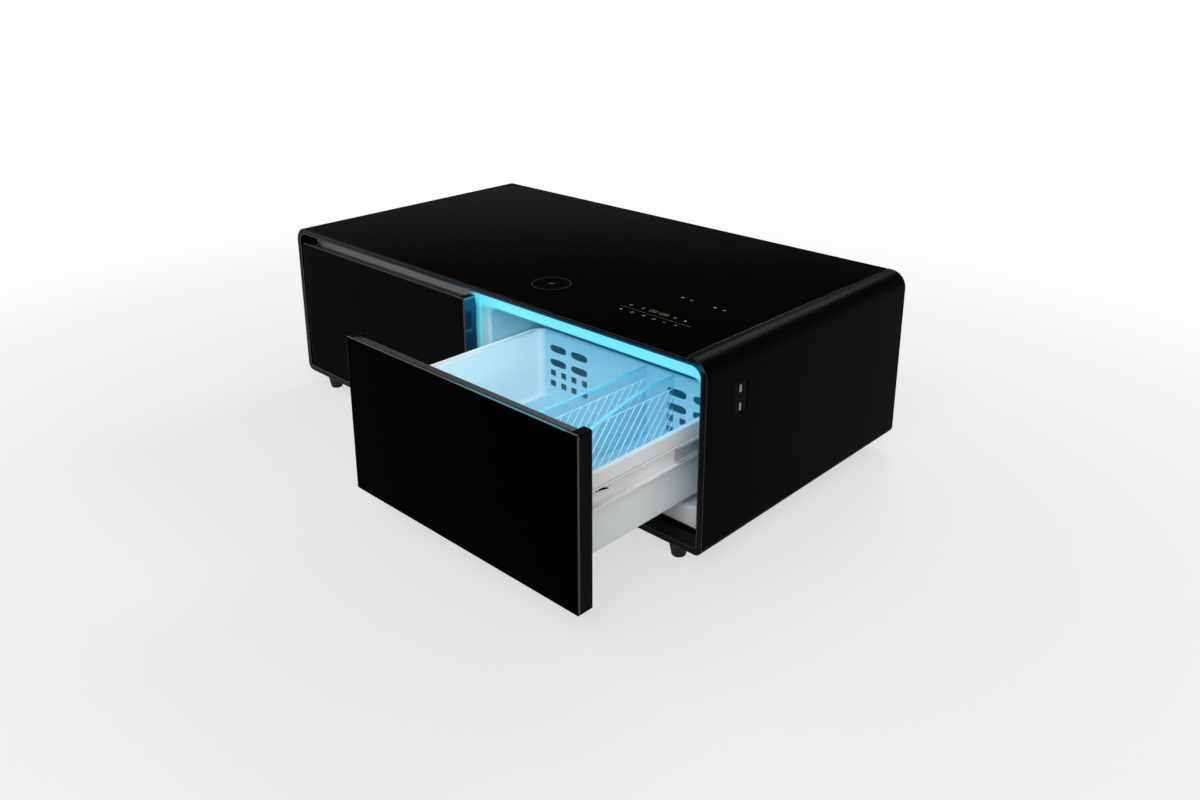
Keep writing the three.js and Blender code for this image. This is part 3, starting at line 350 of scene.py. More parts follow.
def metalPipe(name, colour, rough=0.28):
    f = Finish(name)
    stain = f.noise(45, 5, 0.6)
    return f.set(colour=f.shade(stain, 0.4, 0.8, colour, 0.6), rough=rough + stain * 0.2, metal=0.9)


def lightLens(name, colour, strength, pitch=12.5, start=(-12, 6)):
    # the lamps behind the lens show as slightly brighter spots; only the open drawer's half is lit
    f = Finish(name)
    wave = f.math("SINE", f.axis("X") * (2 * math.pi / (pitch * mm)))
    tone = f.blend(f.step(wave, -1.0, 1.0), tuple(c * 0.78 for c in colour), colour)
    f.glowWhere(f.rise(f.axis("X"), *start), tone, strength)
    return f.set(colour=(0.5, 0.62, 0.66), rough=0.35)


# the strip's light, painted as a glow on the frame
framePaintedGlow = {
    "lip": (407, 416), "lipUp": (400, 404), "lipStart": (-60, 20), "post": (635, 641), "postStart": (630, 634),
    "postUp": (240, 400), "postShare": 0.7, "glow": (0.003, 0.055, 0.12),
}


def paintedGlowFrame(name, colour, rough):
    # black frame, whose lower lip and right post have the strip's light painted on as a glow
    f, s = Finish(name), framePaintedGlow
    peel = f.noise(620, 2, 0.55)
    across, high = f.axis("X"), f.axis("Z")
    lip = f.fall(high, *s["lip"]) * f.rise(high, *s["lipUp"]) * f.rise(across, *s["lipStart"])
    post = f.fall(across, *s["post"]) * f.rise(across, *s["postStart"]) * f.rise(high, *s["postUp"])
    f.glowWhere(f.math("MAXIMUM", lip, post * s["postShare"]), s["glow"])
    return f.set(colour=colour, rough=rough + peel * 0.06, normal=f.bump(peel, 0.02, 0.0006), shine=0.06)


# the open drawer's light, as a painted reflection on the left front's right end cap
capPaintedReflection = {
    "end": (-5, -2.4), "up": (120, 240), "middleStart": (3, 5), "middleEnd": (20, 23), "patchLow": (310, 318),
    "patchHigh": (346, 356), "lineLow": (304.5, 307), "lineHigh": (308.5, 311), "shade": (270, 378),
    "top": (376, 383), "patchShare": 0.8,
    "tones": ((0.002, 0.018, 0.04), (0.001, 0.09, 0.19)), "patchTone": (0.0005, 0.012, 0.035),
    "lineTone": (0.005, 0.1, 0.2), "topTone": (0.03, 0.36, 0.55),
}


def paintedReflectionCap(name, colour):
    # black plastic whose right end has a painted reflection of the open drawer's light: paler at its top, with a
    # painted dark patch and a painted thin line
    f, s = Finish(name), capPaintedReflection
    grains = f.noise(900, 2, 0.6)
    high, depth = f.axis("Z"), f.axis("Y", (0, cabinetY * mm, 0))
    end = f.rise(f.axis("X"), *s["end"]) * f.rise(high, *s["up"])
    middle = f.rise(depth, *s["middleStart"]) * f.fall(depth, *s["middleEnd"])
    patch = middle * f.rise(high, *s["patchLow"]) * f.fall(high, *s["patchHigh"])
    line = middle * f.rise(high, *s["lineLow"]) * f.fall(high, *s["lineHigh"])
    glow = f.blend(f.rise(high, *s["shade"]), *s["tones"])
    glow = f.blend(patch * s["patchShare"], glow, s["patchTone"])
    glow = f.blend(line, glow, s["lineTone"])
    f.glowWhere(end, f.blend(f.rise(high, *s["top"]), glow, s["topTone"]))
    return f.set(colour=colour, rough=0.3 + grains * 0.06, normal=f.bump(grains, 0.05, 0.0004), shine=0.05)


def printed(name, colour, glow=0.0):
    f = Finish(name)
    tone = f.blend(f.step(f.noise(900, 2, 0.5), 0.3, 0.7), tuple(c * 0.8 for c in colour), colour)
    if glow:
        f.set(glow=tone, glowStrength=glow)
    return f.set(colour=tone, rough=0.5)


def circuitBoard(name):
    f = Finish(name)
    tracks = f.node("TexBrick", None, {
        "Vector": f.spot(), "Color1": (0.02, 0.11, 0.05), "Color2": (0.03, 0.15, 0.07), "Mortar": (0.35, 0.22, 0.06),
        "Scale": 60.0, "Mortar Size": 0.012})
    return f.set(colour=tracks, rough=0.35 + f.noise(300, 2, 0.5) * 0.1)


# Each finish: its maker and the maker's values
black, sealBlack = (0.002, 0.002, 0.0022), (0.02, 0.021, 0.022)
recipes = {
    "blackSteel": (coatedSteel, (0.0014, 0.0014, 0.0015), 0.36, 0.05, 0.007),
    "rearSteel": (coatedSteel, (0.016, 0.016, 0.017), 0.42, 0.06, 0.22),
    "blackFrame": (paintedGlowFrame, (0.0025, 0.0025, 0.0028), 0.2),
    "topGlass": (darkGlass, 0.05, (0.0005, 0.0009)),
    # the left pane's tones are lighter than the right's, on the same glass: painted reflection
    "paneLeft": (darkGlass, 0.004, (0.003, 0.0034), True),
    "paneRight": (darkGlass, 0.0025, (0.0004, 0.0006), True),
    "blackPlastic": (mouldedPlastic, black, 0.34, 900, 0.08, 0.02),
    "blackCap": (paintedReflectionCap, black),
    "blackGloss": (mouldedPlastic, black, 0.16, 1200, 0.02, 0.015),
    # a lighter grey than the wrap, for the thin edge lines: painted highlight
    "edgeSteel": (coatedSteel, (0.035, 0.034, 0.033), 0.3, 0.02, 0.3),
    "bronzeMetal": (brushedMetal, (0.105, 0.095, 0.086), 0.3, (0.03, 1, 1)),
    "slideWhite": (coatedSteel, (0.83, 0.83, 0.835), 0.34, 0.03, 0.4),
    "railZinc": (zincSteel, (0.66, 0.68, 0.71), 0.36, 0.2),
    "portSteel": (zincSteel, (0.86, 0.87, 0.88), 0.2, 0.3),
    "linerLit": (whiteMoulding, {
        "reach": linerPaintedMask, "share": 0.9, "tint": (0.22, 0.60, 0.74), "glow": (0.06, 0.48, 0.6),
        "dull": 0.4, "dullEnd": (-60, -30)}),
    "boxWhite": (whiteMoulding,),
    "boxLit": (whiteMoulding, {
        "reach": boxPaintedMask, "share": 0.88, "tint": (0.36, 0.66, 0.78), "glow": (0.02, 0.19, 0.3),
        "pale": (0.2, 0.3, 0.34)}),
    "ductLit": (whiteMoulding, {
        "reach": ductPaintedMask, "share": 0.97, "tint": (0.01, 0.25, 0.47), "glow": (0.0, 0.03, 0.07)}),
    "ductWhite": (whiteMoulding,),
    # the right drawer's divider finishes are cyan, glowing copies of the clear ones: painted light of the strip
    "clearPlate": (clearPlastic, (0.14, 0.6, 0.85), 0.10, (0.0, 0.01, 0.02)),
    "clearLip": (clearPlastic, (0.34, 0.84, 0.97), 0.6, (0.01, 0.14, 0.2)),
    "clearRib": (clearPlastic, (0.8, 0.95, 1.0), 0.6, (0.16, 0.3, 0.34)),
    "clearPlain": (clearPlastic, (0.6, 0.7, 0.74), 0.14),
    "clearPlainLip": (clearPlastic, (0.75, 0.82, 0.85), 0.5),
    "clearPlainRib": (clearPlastic, (0.82, 0.86, 0.88), 0.4),
    "seal": (rubber, sealBlack, 0.5),
    "sealLit": (rubber, sealBlack, 0.5, {
        "reach": sealPaintedMask, "share": 0.9, "tint": (0.05, 0.28, 0.36), "glow": (0.02, 0.24, 0.36)}),
    "blackRubber": (rubber, (0.008, 0.008, 0.008)),
    "foam": (foam,),
    "copper": (metalPipe, (0.72, 0.36, 0.2)),
    "finMetal": (metalPipe, (0.72, 0.74, 0.76), 0.35),
    "compressorPaint": (coatedSteel, (0.012, 0.012, 0.014), 0.3, 0.03),
    "lens": (lightLens, (0.08, 0.74, 1.0), 3.0),
    "printGrey": (printed, (0.34, 0.35, 0.36)),
    "printDim": (printed, (0.065, 0.065, 0.068)),
    "amber": (printed, (0.2, 0.12, 0.06), 0.08),
    "amberDim": (printed, (0.07, 0.04, 0.02), 0.05),
    "board": (circuitBoard,),
}
finishes = {name: make(name, *values) for name, (make, *values) in recipes.items()}
print("stage: finishes made")


# Mesh helpers
def arc(cx, cz, r, start, end, count):
    turns = [math.radians(start + (end - start) * i / count) for i in range(count + 1)]
    return [(cx + r * math.cos(t), cz + r * math.sin(t)) for t in turns]


def wholeCircle(cx, cz, r, count):
    return arc(cx, cz, r, 0, 360 - 360 / count, count - 1)


def quarter(steps):
    # how far a rounded edge is cut back at each of its steps, across and along
    turns = [i / steps * math.pi / 2 for i in range(steps + 1)]
    return [(1 - math.sin(t), 1 - math.cos(t)) for t in turns]


def corneredRing(x0, x1, z0, z1, radii, count=10, topPoints=()):
    # anticlockwise from the low right corner, as the radii are
    a, b, c, d = radii
    return (arc(x1 - a, z0 + a, a, -90, 0, count) + arc(x1 - b, z1 - b, b, 0, 90, count) + list(topPoints)
            + arc(x0 + c, z1 - c, c, 90, 180, count) + arc(x0 + d, z0 + d, d, 180, 270, count))


def roundedRing(x0, x1, z0, z1, low, high, count=10):
    low, high = max(low, 0.01), max(high, 0.01)
    return corneredRing(x0, x1, z0, z1, (low, high, high, low), count)


def standing(points, y, shift=cabinetY):
    # points of the X-Z plane, stood at depth y
    return [Vector((x, y + shift, z)) * mm for x, z in points]


def lying(points, z, shift=cabinetY):
    # points of the X-Y plane, at height z
    return [Vector((x, y + shift, z)) * mm for x, y in points]


def crossing(points, x, shift=cabinetY):
    # points of the Y-Z plane, at width x
    return [Vector((x, y + shift, z)) * mm for y, z in points]


def skin(bm, rings, loop=False):
    # faces between the rings, which close on themselves or get a cap at each end
    rows = [[bm.verts.new(p) for p in ring] for ring in rings]
    pairs = list(zip(rows, rows[1:])) + ([(rows[-1], rows[0])] if loop else [])
    count = len(rows[0])
    for one, two in pairs:
        for i in range(count):
            j = (i + 1) % count
            bm.faces.new((one[i], one[j], two[j], two[i]))
    if not loop:
        bm.faces.new(rows[0])
        bm.faces.new(rows[-1])


def cuboid(bm, x0, x1, y0, y1, z0, z1, shift=cabinetY):
    ring = [(x0, y0), (x1, y0), (x1, y1), (x0, y1)]
    skin(bm, [lying(ring, z0, shift), lying(ring, z1, shift)])


def toMesh(bm, name):
    bmesh.ops.remove_doubles(bm, verts=bm.verts, dist=2e-6)
    bmesh.ops.dissolve_degenerate(bm, edges=bm.edges, dist=1e-6)
    bmesh.ops.recalc_face_normals(bm, faces=bm.faces)
    mesh = bpy.data.meshes.new(name)
    bm.to_mesh(mesh)
    bm.free()
    return mesh


def newObject(name, mesh):
    made = bpy.data.objects.new(name, mesh)
    scene.collection.objects.link(made)
    return made


def solid(name, bm):
    return newObject(name, toMesh(bm, name))


def discard(made):
    old = made.data
    bpy.data.objects.remove(made)
    bpy.data.meshes.remove(old)


def evaluated(made):
    graph = bpy.context.evaluated_depsgraph_get()
    graph.update()
    return bpy.data.meshes.new_from_object(made.evaluated_get(graph))


def settle(made):
    # what the modifiers make becomes the object's own mesh
    mesh, old = evaluated(made), made.data
    made.modifiers.clear()
    made.data = mesh
    if old.users == 0:
        bpy.data.meshes.remove(old)
    return made


def bevel(made, width, segments=2, angle=32):
    edges = made.modifiers.new("edges", "BEVEL")
    edges.width = width * mm
    edges.segments = segments
    edges.limit_method = "ANGLE"
    edges.angle_limit = math.radians(angle)
    return settle(made)


def carve(made, cutter):
    cut = made.modifiers.new("cut", "BOOLEAN")
    cut.operation = "DIFFERENCE"
    cut.solver = "EXACT"
    cut.object = cutter
    settle(made)
    discard(cutter)
    return made


def joined(name, parts):
    # several meshes as one object
    bm = bmesh.new()
    for part in parts:
        bm.from_mesh(part.data)
        discard(part)
    mesh = bpy.data.meshes.new(name)
    bm.to_mesh(mesh)
    bm.free()
    return newObject(name, mesh)


def place(made, finish, node=None, body="cabinet", smooth=32):
    # gives a piece its finish, its body and the node that it stands for
    made.data.materials.clear()
    made.data.materials.append(finishes[finish])
    made.data.polygons.foreach_set("material_index", [0] * len(made.data.polygons))
    made.data.shade_smooth()
    made.data.set_sharp_from_angle(angle=math.radians(smooth))
    flats = made.modifiers.new("flats", "WEIGHTED_NORMAL")   # a flat face keeps its own normal up to its round edge
    flats.keep_sharp = True
    settle(made)
    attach(made, body)
    if node:
        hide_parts(node)
    return made


def fromRings(name, rings, loop=False):
    bm = bmesh.new()
    skin(bm, rings, loop)
    return solid(name, bm)


def blocks(name, extents, shift=cabinetY):
    # cuboids, each given by its x0, x1, y0, y1, z0 and z1
    bm = bmesh.new()
    for extent in extents:
        cuboid(bm, *extent, shift)
    return solid(name, bm)


def plateRings(outline, y0, y1, shift=cabinetY, edge=0.6, steps=3, stand=standing):
    # a plate with rounded edges: outline(inset) gives its ring
    turns = quarter(steps)
    return ([stand(outline(edge * across), y0 + edge * along, shift) for across, along in turns]
            + [stand(outline(edge * along), y1 - edge * across, shift) for across, along in turns])


def barRings(profile, x0, x1, shift=cabinetY):
    return [crossing(profile, x0, shift), crossing(profile, x1, shift)]


def turned(profile, centre, shift=cabinetY, count=48, axis="z"):
    # rings of a revolved form: profile holds (radius, distance along the axis)
    cx, cy, cz = centre
    rings = []
    for radius, along in profile:
        points = wholeCircle(0, 0, max(radius, 0.001), count)
        if axis == "z":
            ring = [(cx + a, cy + b, cz + along) for a, b in points]
        elif axis == "y":
            ring = [(cx + a, cy + along, cz + b) for a, b in points]
        else:
            ring = [(cx + along, cy + a, cz + b) for a, b in points]
        rings.append([Vector((x, y + shift, z)) * mm for x, y, z in ring])
    return rings


# Geometry Nodes helpers
class Tree:
    def __init__(self, name, inputs):
        self.group = bpy.data.node_groups.new(name, "GeometryNodeTree")
        face = self.group.interface
        face.new_socket("Geometry", in_out="INPUT", socket_type="NodeSocketGeometry")
        for key, (kind, value) in dict(inputs, Material=("Material", None)).items():
            socket = face.new_socket(key, in_out="INPUT", socket_type="NodeSocket" + kind)
            if value is not None:
                socket.default_value = value
        face.new_socket("Geometry", in_out="OUTPUT", socket_type="NodeSocketGeometry")
        self.start = self.group.nodes.new("NodeGroupInput")
        self.end = self.group.nodes.new("NodeGroupOutput")

    def input(self, name):
        return self.start.outputs[name]

    def add(self, kind, settings=None, inputs=None, output=0):
        made = self.group.nodes.new(kind)
        for key, value in (settings or {}).items():
            setattr(made, key, value)
        for key, value in (inputs or {}).items():
            if isinstance(value, bpy.types.NodeSocket):
                self.group.links.new(value, made.inputs[key])
            else:
                made.inputs[key].default_value = value
        return made.outputs[output]

    def math(self, operation, first, second):
        return self.add("ShaderNodeMath", {"operation": operation}, {0: first, 1: second})

    def vector(self, **parts):
        return self.add("ShaderNodeCombineXYZ", None, parts)

    def finish(self, geometry):
        real = self.add("GeometryNodeRealizeInstances", None, {0: geometry})
        shown = self.add("GeometryNodeSetMaterial", None, {"Geometry": real, "Material": self.input("Material")})
        self.group.links.new(shown, self.end.inputs[0])
        return self.group


def grow(name, base, group, values, finish):
    # runs a tree on a base mesh or curve and keeps the result as a plain mesh
    made = newObject(name, base)
    step = made.modifiers.new("grow", "NODES")
    step.node_group = group
    wanted = dict(values, Material=finishes[finish])
    for item in group.interface.items_tree:
        if item.item_type == "SOCKET" and item.in_out == "INPUT" and item.name in wanted:
            step[item.identifier] = wanted[item.name]
    mesh = evaluated(made)
    bpy.data.objects.remove(made)
    result = newObject(name, mesh)
    bm = bmesh.new()
    bm.from_mesh(mesh)
    bmesh.ops.remove_doubles(bm, verts=bm.verts, dist=1e-6)
    bmesh.ops.recalc_face_normals(bm, faces=bm.faces)
    bm.to_mesh(mesh)
    bm.free()
    return result


def pointMesh(points):
    mesh = bpy.data.meshes.new("points")
    mesh.from_pydata([Vector(p) * mm for p in points], [], [])
    return mesh


def finTree():
    # thin plates along X, evenly spread
    t = Tree("finPack", {
        "Count": ("Int", 20), "Length": ("Float", 0.18), "Across": ("Float", 0.022), "Height": ("Float", 0.118),
        "Thickness": ("Float", 0.0004)})
    step = t.math("DIVIDE", t.input("Length"), t.math("SUBTRACT", t.input("Count"), 1.0))
    line = t.add("GeometryNodeMeshLine", {"mode": "OFFSET"}, {
        "Count": t.input("Count"), "Start Location": t.vector(X=t.math("MULTIPLY", t.input("Length"), -0.5)),
        "Offset": t.vector(X=step)})
    size = t.vector(X=t.input("Thickness"), Y=t.input("Across"), Z=t.input("Height"))
    plate = t.add("GeometryNodeMeshCube", None, {"Size": size})
    return t.finish(t.add("GeometryNodeInstanceOnPoints", None, {"Points": line, "Instance": plate}))


def sweepTree():
    # a round tube along a curve
    t = Tree("pipeRun", {"Radius": ("Float", 0.003), "Sides": ("Int", 14)})
    ring = t.add("GeometryNodeCurvePrimitiveCircle", {"mode": "RADIUS"}, {
        "Resolution": t.input("Sides"), "Radius": t.input("Radius")})
    return t.finish(t.add("GeometryNodeCurveToMesh", None, {
        "Curve": t.input("Geometry"), "Profile Curve": ring, "Fill Caps": True}))


def ringTree():
    # copies of the base mesh turned round Z
    t = Tree("bladeRing", {"Count": ("Int", 7)})
    points = t.add("GeometryNodePoints", None, {"Count": t.input("Count")})
    share = t.math("DIVIDE", t.add("GeometryNodeInputIndex"), t.input("Count"))
    spin = t.add("FunctionNodeEulerToRotation", None, {0: t.vector(Z=t.math("MULTIPLY", share, 2 * math.pi))})
    return t.finish(t.add("GeometryNodeInstanceOnPoints", None, {
        "Points": points, "Instance": t.input("Geometry"), "Rotation": spin}))


def scatterTree():
    # a small part, given as an object, set on every point of the base mesh
    t = Tree("partsOnPoints", {"Part": ("Object", None)})
    part = t.add("GeometryNodeObjectInfo", {"transform_space": "ORIGINAL"}, {0: t.input("Part")}, "Geometry")
    points = t.add("GeometryNodeMeshToPoints", None, {"Mesh": t.input("Geometry")})
    return t.finish(t.add("GeometryNodeInstanceOnPoints", None, {"Points": points, "Instance": part}))


finPack, pipeRun, bladeRing, partsOnPoints = finTree(), sweepTree(), ringTree(), scatterTree()


def finBlock(name, count, length, across, height, matrix, node):
    fins = grow(name, pointMesh([(0, 0, 0)]), finPack, {
        "Count": count, "Length": (length - 1) * mm, "Across": across * mm, "Height": height * mm}, "finMetal")
    fins.data.transform(matrix)
    place(fins, "finMetal", node)


def pipe(name, corners, radius, bend, steps=6):
    # a tube through the corners, each rounded to the bend
    stops = [Vector(c) for c in corners]
    points = [stops[0]]
    for before, corner, after in zip(stops, stops[1:], stops[2:]):
        into = corner + (before - corner).normalized() * bend
        out = corner + (after - corner).normalized() * bend
        for part in (i / steps for i in range(steps + 1)):
            points.append(into * (1 - part) ** 2 + corner * (2 * part * (1 - part)) + out * part ** 2)
    points.append(stops[-1])
    curve = bpy.data.curves.new("route", "CURVE")
    curve.dimensions = "3D"
    spline = curve.splines.new("POLY")
    spline.points.add(len(points) - 1)
    for point, spot in zip(spline.points, points):
        point.co = (*((spot + Vector((0, cabinetY, 0))) * mm), 1)
    return grow(name, curve, pipeRun, {"Radius": radius * mm}, "copper")


def onPoints(name, part, points, finish):
    made = grow(name, pointMesh(points), partsOnPoints, {"Part": part}, finish)
    discard(part)
    return made


def slotSolids(outline, depth, points):
    # a slot's outline in the X-Z plane, run back from each point
    part = fromRings("slot", [standing(outline, 0, 0), standing(outline, depth, 0)])
    return onPoints("slots", part, points, "blackPlastic")


def moved(x, y, z, turn=0, axis="X"):
    # a place in the cabinet, turned by degrees about an axis
    return Matrix.Translation(Vector((x, y + cabinetY, z)) * mm) @ Matrix.Rotation(math.radians(turn), 4, axis)


# Cabinet shell, frame, light and glass
cabinet = {
    "half": 650, "foot": 38, "top": 422, "depth": 700, "sheet": 1.5, "seat": 0.3, "setback": 0.4, "hem": 0.4,
    "topCorner": 36, "bottomCorner": 18, "line": ((0.35, 0), (0.35, 0.15), (1.25, 0.15), (1.25, 0)),
}
rim = {
    "half": 635, "bottom": 53, "top": 407, "bottomCorner": 5, "topCorner": 21, "depth": 45.3, "edge": 1.2,
    "groove": (-605, 605, 16, 28, 400, 414), "sill": (41.8, 45.3, 52, 59.5), "sillHalf": 634.9,
    "line": ((1.3, 0.1), (1.5, -0.1), (2.3, -0.1), (2.5, 0.1)),
}
lens = {
    "half": 604.7, "profile": [(16.3, 409), (17.2, 407.6), (19.3, 407), (24.7, 407), (26.8, 407.6), (27.7, 409),
                               (27.7, 413.7), (16.3, 413.7)],
}
glass = {"half": 605, "start": 0.3, "end": 699.7, "corner": 4, "thickness": 4, "edge": 0.7}
sockets = {
    "y": 104, "z": 323, "width": 47, "height": 70, "corner": 4, "pitch": 36, "long": 13.6, "short": 6.2, "gap": 0.3,
    "inner": 624, "face": 649.9, "recess": 647.4, "margin": 2.6, "board": (622.1, 623.7, 88, 120, 292, 354),
    "shell": ((0, 624.2), (0, 646.8), (-0.15, 647), (-0.6, 647), (-0.6, 626)), "tongueEnd": 644,
    "tongueThickness": 2, "tongueHalf": 5.5, "portCorner": 0.8, "holeCut": (640, 660), "portCut": (620, 650),
    "recessCut": 655,
}


def wrapRing(inset, count=14):
    # the wrap's outline, stepped down under the glass
    c = cabinet
    x, z0, z1 = c["half"] - inset, c["foot"] + inset, c["top"] - inset
    low, high = c["bottomCorner"] - inset, c["topCorner"] - inset
    stepX, stepZ = glass["half"] + c["seat"] + inset, z1 - glass["thickness"] - c["seat"]
    return corneredRing(-x, x, z0, z1, (low, high, high, low), count,
                        [(stepX, z1), (stepX, stepZ), (-stepX, stepZ), (-stepX, z1)])


def frameHole(grown, count=14):
    # the frame's inner outline, with as many points as the wrap's
    r = rim
    x, z0, z1 = r["half"] + grown, r["bottom"] - grown, r["top"] + grown
    low, high = r["bottomCorner"] + grown, r["topCorner"] + grown
    flat = x - high
    return corneredRing(-x, x, z0, z1, (low, high, high, low), count,
                        [(flat, z1), (flat - 1, z1), (1 - flat, z1), (-flat, z1)])


def socketOutline(grown):
    s = sockets
    y, z, w, h = s["y"], s["z"], s["width"] / 2 + grown, s["height"] / 2 + grown
    return roundedRing(y - w, y + w, z - h, z + h, s["corner"] + grown, s["corner"] + grown, 6)


def buildCabinet():
    c, r = cabinet, rim
    start, end, hem, sheet = c["setback"], c["depth"], c["hem"], c["sheet"]
    rings = [standing(wrapRing(inset), y) for inset, y in (
        (hem, start), (hem * 0.3, start + hem * 0.3), (0, start + hem), (0, end - hem), (hem, end), (sheet, end),
        (sheet, start))]
    shell = fromRings("shell", rings, True)
    carve(shell, fromRings("hole", barRings(socketOutline(sockets["gap"]), *sockets["holeCut"])))
    place(shell, "blackSteel", "cabinet_shell", smooth=25)

    inset, edge, turns = sheet + c["seat"], r["edge"], quarter(3)
    outer = [standing(wrapRing(inset + edge * across), edge * along) for across, along in turns]
    inner = [standing(frameHole(edge * across), edge * along) for across, along in reversed(turns)]
    back = [standing(wrapRing(inset), r["depth"]), standing(frameHole(0), r["depth"])]
    body = fromRings("rim", outer + back + inner, True)
    carve(body, blocks("groove", [r["groove"]]))
    sill = fromRings("sill", barRings(roundedRing(*r["sill"], 0.5, 1.2, 3), -r["sillHalf"], r["sillHalf"]))
    place(joined("frontFrame", [body, sill]), "blackFrame", "front_frame", smooth=28)

    # painted highlights of the edges: a thin lighter line on the wrap's front and one round the frame's opening
    line = [standing(wrapRing(inset), start - out) for inset, out in c["line"]]
    place(fromRings("wrapEdge", line, True), "edgeSteel")
    line = [standing(frameHole(grown), y) for grown, y in r["line"]]
    place(fromRings("frameEdge", line, True), "edgeSteel")

    strip = fromRings("lightLens", barRings(lens["profile"], -lens["half"], lens["half"]))
    place(strip, "lens", "light_strip")

    def sheetRing(inset):
        half, corner = glass["half"] - inset, glass["corner"] - inset
        return roundedRing(-half, half, glass["start"] + inset, glass["end"] - inset, corner, corner, 6)
    under = c["top"] - glass["thickness"]
    top = fromRings("topGlass", plateRings(sheetRing, under, c["top"], cabinetY, glass["edge"], 4, lying))
    place(top, "topGlass", "glass_top")


def buildSockets():
    s = sockets
    bezel = fromRings("bezel", plateRings(
        lambda inset: socketOutline(-inset), s["inner"], s["face"], cabinetY, 0.5, 3, crossing))
    carve(bezel, fromRings("recess", plateRings(
        lambda inset: socketOutline(-s["margin"] - inset), s["recess"], s["recessCut"], cabinetY, 0.3, 3, crossing)))
    shells, tongues = [], []
    for sign in (-1, 1):
        z = s["z"] + sign * s["pitch"] / 2

        def port(grown):
            w, h = s["short"] / 2 + grown, s["long"] / 2 + grown
            return roundedRing(s["y"] - w, s["y"] + w, z - h, z + h, s["portCorner"], s["portCorner"], 3)
        carve(bezel, fromRings("portRoom", barRings(port(s["gap"]), *s["portCut"])))
        shells.append(fromRings("portShell", [crossing(port(grown), x) for grown, x in s["shell"]]))
        tongues.append((s["inner"], s["tongueEnd"], s["y"] - s["tongueThickness"], s["y"],
                        z - s["tongueHalf"], z + s["tongueHalf"]))
    place(bezel, "blackGloss", "socket_bezel")
    shells.append(blocks("portBoard", [s["board"]]))
    place(joined("chargingPorts", shells), "portSteel", "charging_ports")
    place(bevel(blocks("portTongues", tongues), 0.25), "blackGloss")


buildCabinet()
buildSockets()
print("stage: cabinet built")

# Prints on the glass
prints = {
    "z": 422.0, "height": 0.07, "ringX": 143.7, "ringY": 120.5, "ringRadius": 41, "ringWidth": 0.7, "ringEnd": 352.5,
    "line": ((341.7, 117.4), (519.6, 116.6)), "lineWidth": 0.8, "stroke": 0.75, "dot": 2.3,
    "dots": ((356.7, 102.4), (492.4, 134.5)), "bolt": ((-5.1, -4.8), (-1.2, 0.6), (1.2, -0.6), (5.1, 4.8)),
    "digits": (("0", 404), ("5", 413.5), ("0", 431.5), ("3", 441)), "digitY": 130.6, "colonX": 426.3,
    "colonY": (133.2, 137.4), "colonDot": 0.8, "digitWidth": 6.6, "digitHeight": 9.4, "digitStroke": 1.15,
    "digitGap": 0.7, "digitSlant": 0.12,
}
iconShapes = {
    "power": [arc(0, 0, 3.2, 120, 420, 16), [(0, 1.2), (0, 4.4)]],
    "snow": [arc(0, 0, 3.4, angle, angle + 180, 1) for angle in (209.794, 269.954, 330.115)],
    "lock": [[(-2.6, -3), (2.6, -3), (2.6, 0.4), (-2.6, 0.4), (-2.6, -3)], arc(0, 0.6, 1.8, 0, 180, 10)],
    "plus": [[(-3, 0), (3, 0)], [(0, -3), (0, 3)]],
    "minus": [[(-3, 0), (3, 0)]],
    "play": [[(-2.2, -2.8), (3, 0), (-2.2, 2.8), (-2.2, -2.8)]],
    "back": [[(2.4, -2.6), (-1.6, 0), (2.4, 2.6), (2.4, -2.6)], [(-2.6, -2.6), (-2.6, 2.6)]],
    "next": [[(-2.4, -2.6), (1.6, 0), (-2.4, 2.6), (-2.4, -2.6)], [(2.6, -2.6), (2.6, 2.6)]],
    "lamp": [arc(0, 0.9, 2.3, -60, 240, 14), [(-1.1, -2.4), (1.1, -2.4)], [(-0.8, -3.4), (0.8, -3.4)]],
    "speaker": [[(-3, -1.2), (-1.2, -1.2), (0.8, -3), (0.8, 3), (-1.2, 1.2), (-3, 1.2), (-3, -1.2)],
                arc(0.8, 0, 2.6, -45, 45, 6)],
    "plug": [[(-1.2, 3.4), (-1.2, 1.4)], [(1.2, 3.4), (1.2, 1.4)], [(-2.4, 1.4), (2.4, 1.4)],
             arc(0, 1.2, 2.3, 180, 360, 10), [(0, -1.2), (0, -3.6)]],
    "fan": [arc(0, 1.9, 1.6, -60, 200, 10), arc(-1.7, -1, 1.6, 60, 320, 10), arc(1.7, -1, 1.6, -180, 80, 10)],
}
iconPlaces = [
    ("speaker", 356.7, 133.2), ("lamp", 386.7, 134.8), ("plug", 467.5, 133.7), ("power", 386, 102.4),
    ("snow", 414.6, 103.7), ("fan", 441, 102.6), ("minus", 466.4, 102.5), ("plus", 493.1, 104),
    ("back", 402.4, 237.8), ("play", 425.9, 236.4), ("next", 486.1, 234.1), ("lock", 510.1, 233.6),
]
digitBars = {"0": "abcdef", "3": "abgcd", "5": "afgcd"}


def printRings(ring):
    return [lying(ring, prints["z"]), lying(ring, prints["z"] + prints["height"])]


def strokeLine(bm, points, width, closed=False):
    # a flat bar along each step of a line, a little longer than the step
    for (ax, ay), (bx, by) in list(zip(points, points[1:])) + ([(points[-1], points[0])] if closed else []):
        along = Vector((bx - ax, by - ay)).normalized()
        side, tip = Vector((-along.y, along.x)) * width / 2, along * width * 0.3
        skin(bm, printRings([
            (ax - tip.x + side.x, ay - tip.y + side.y), (ax - tip.x - side.x, ay - tip.y - side.y),
            (bx + tip.x - side.x, by + tip.y - side.y), (bx + tip.x + side.x, by + tip.y + side.y)]))


def disc(bm, cx, cy, r, count=20):
    skin(bm, printRings(wholeCircle(cx, cy, r, count)))


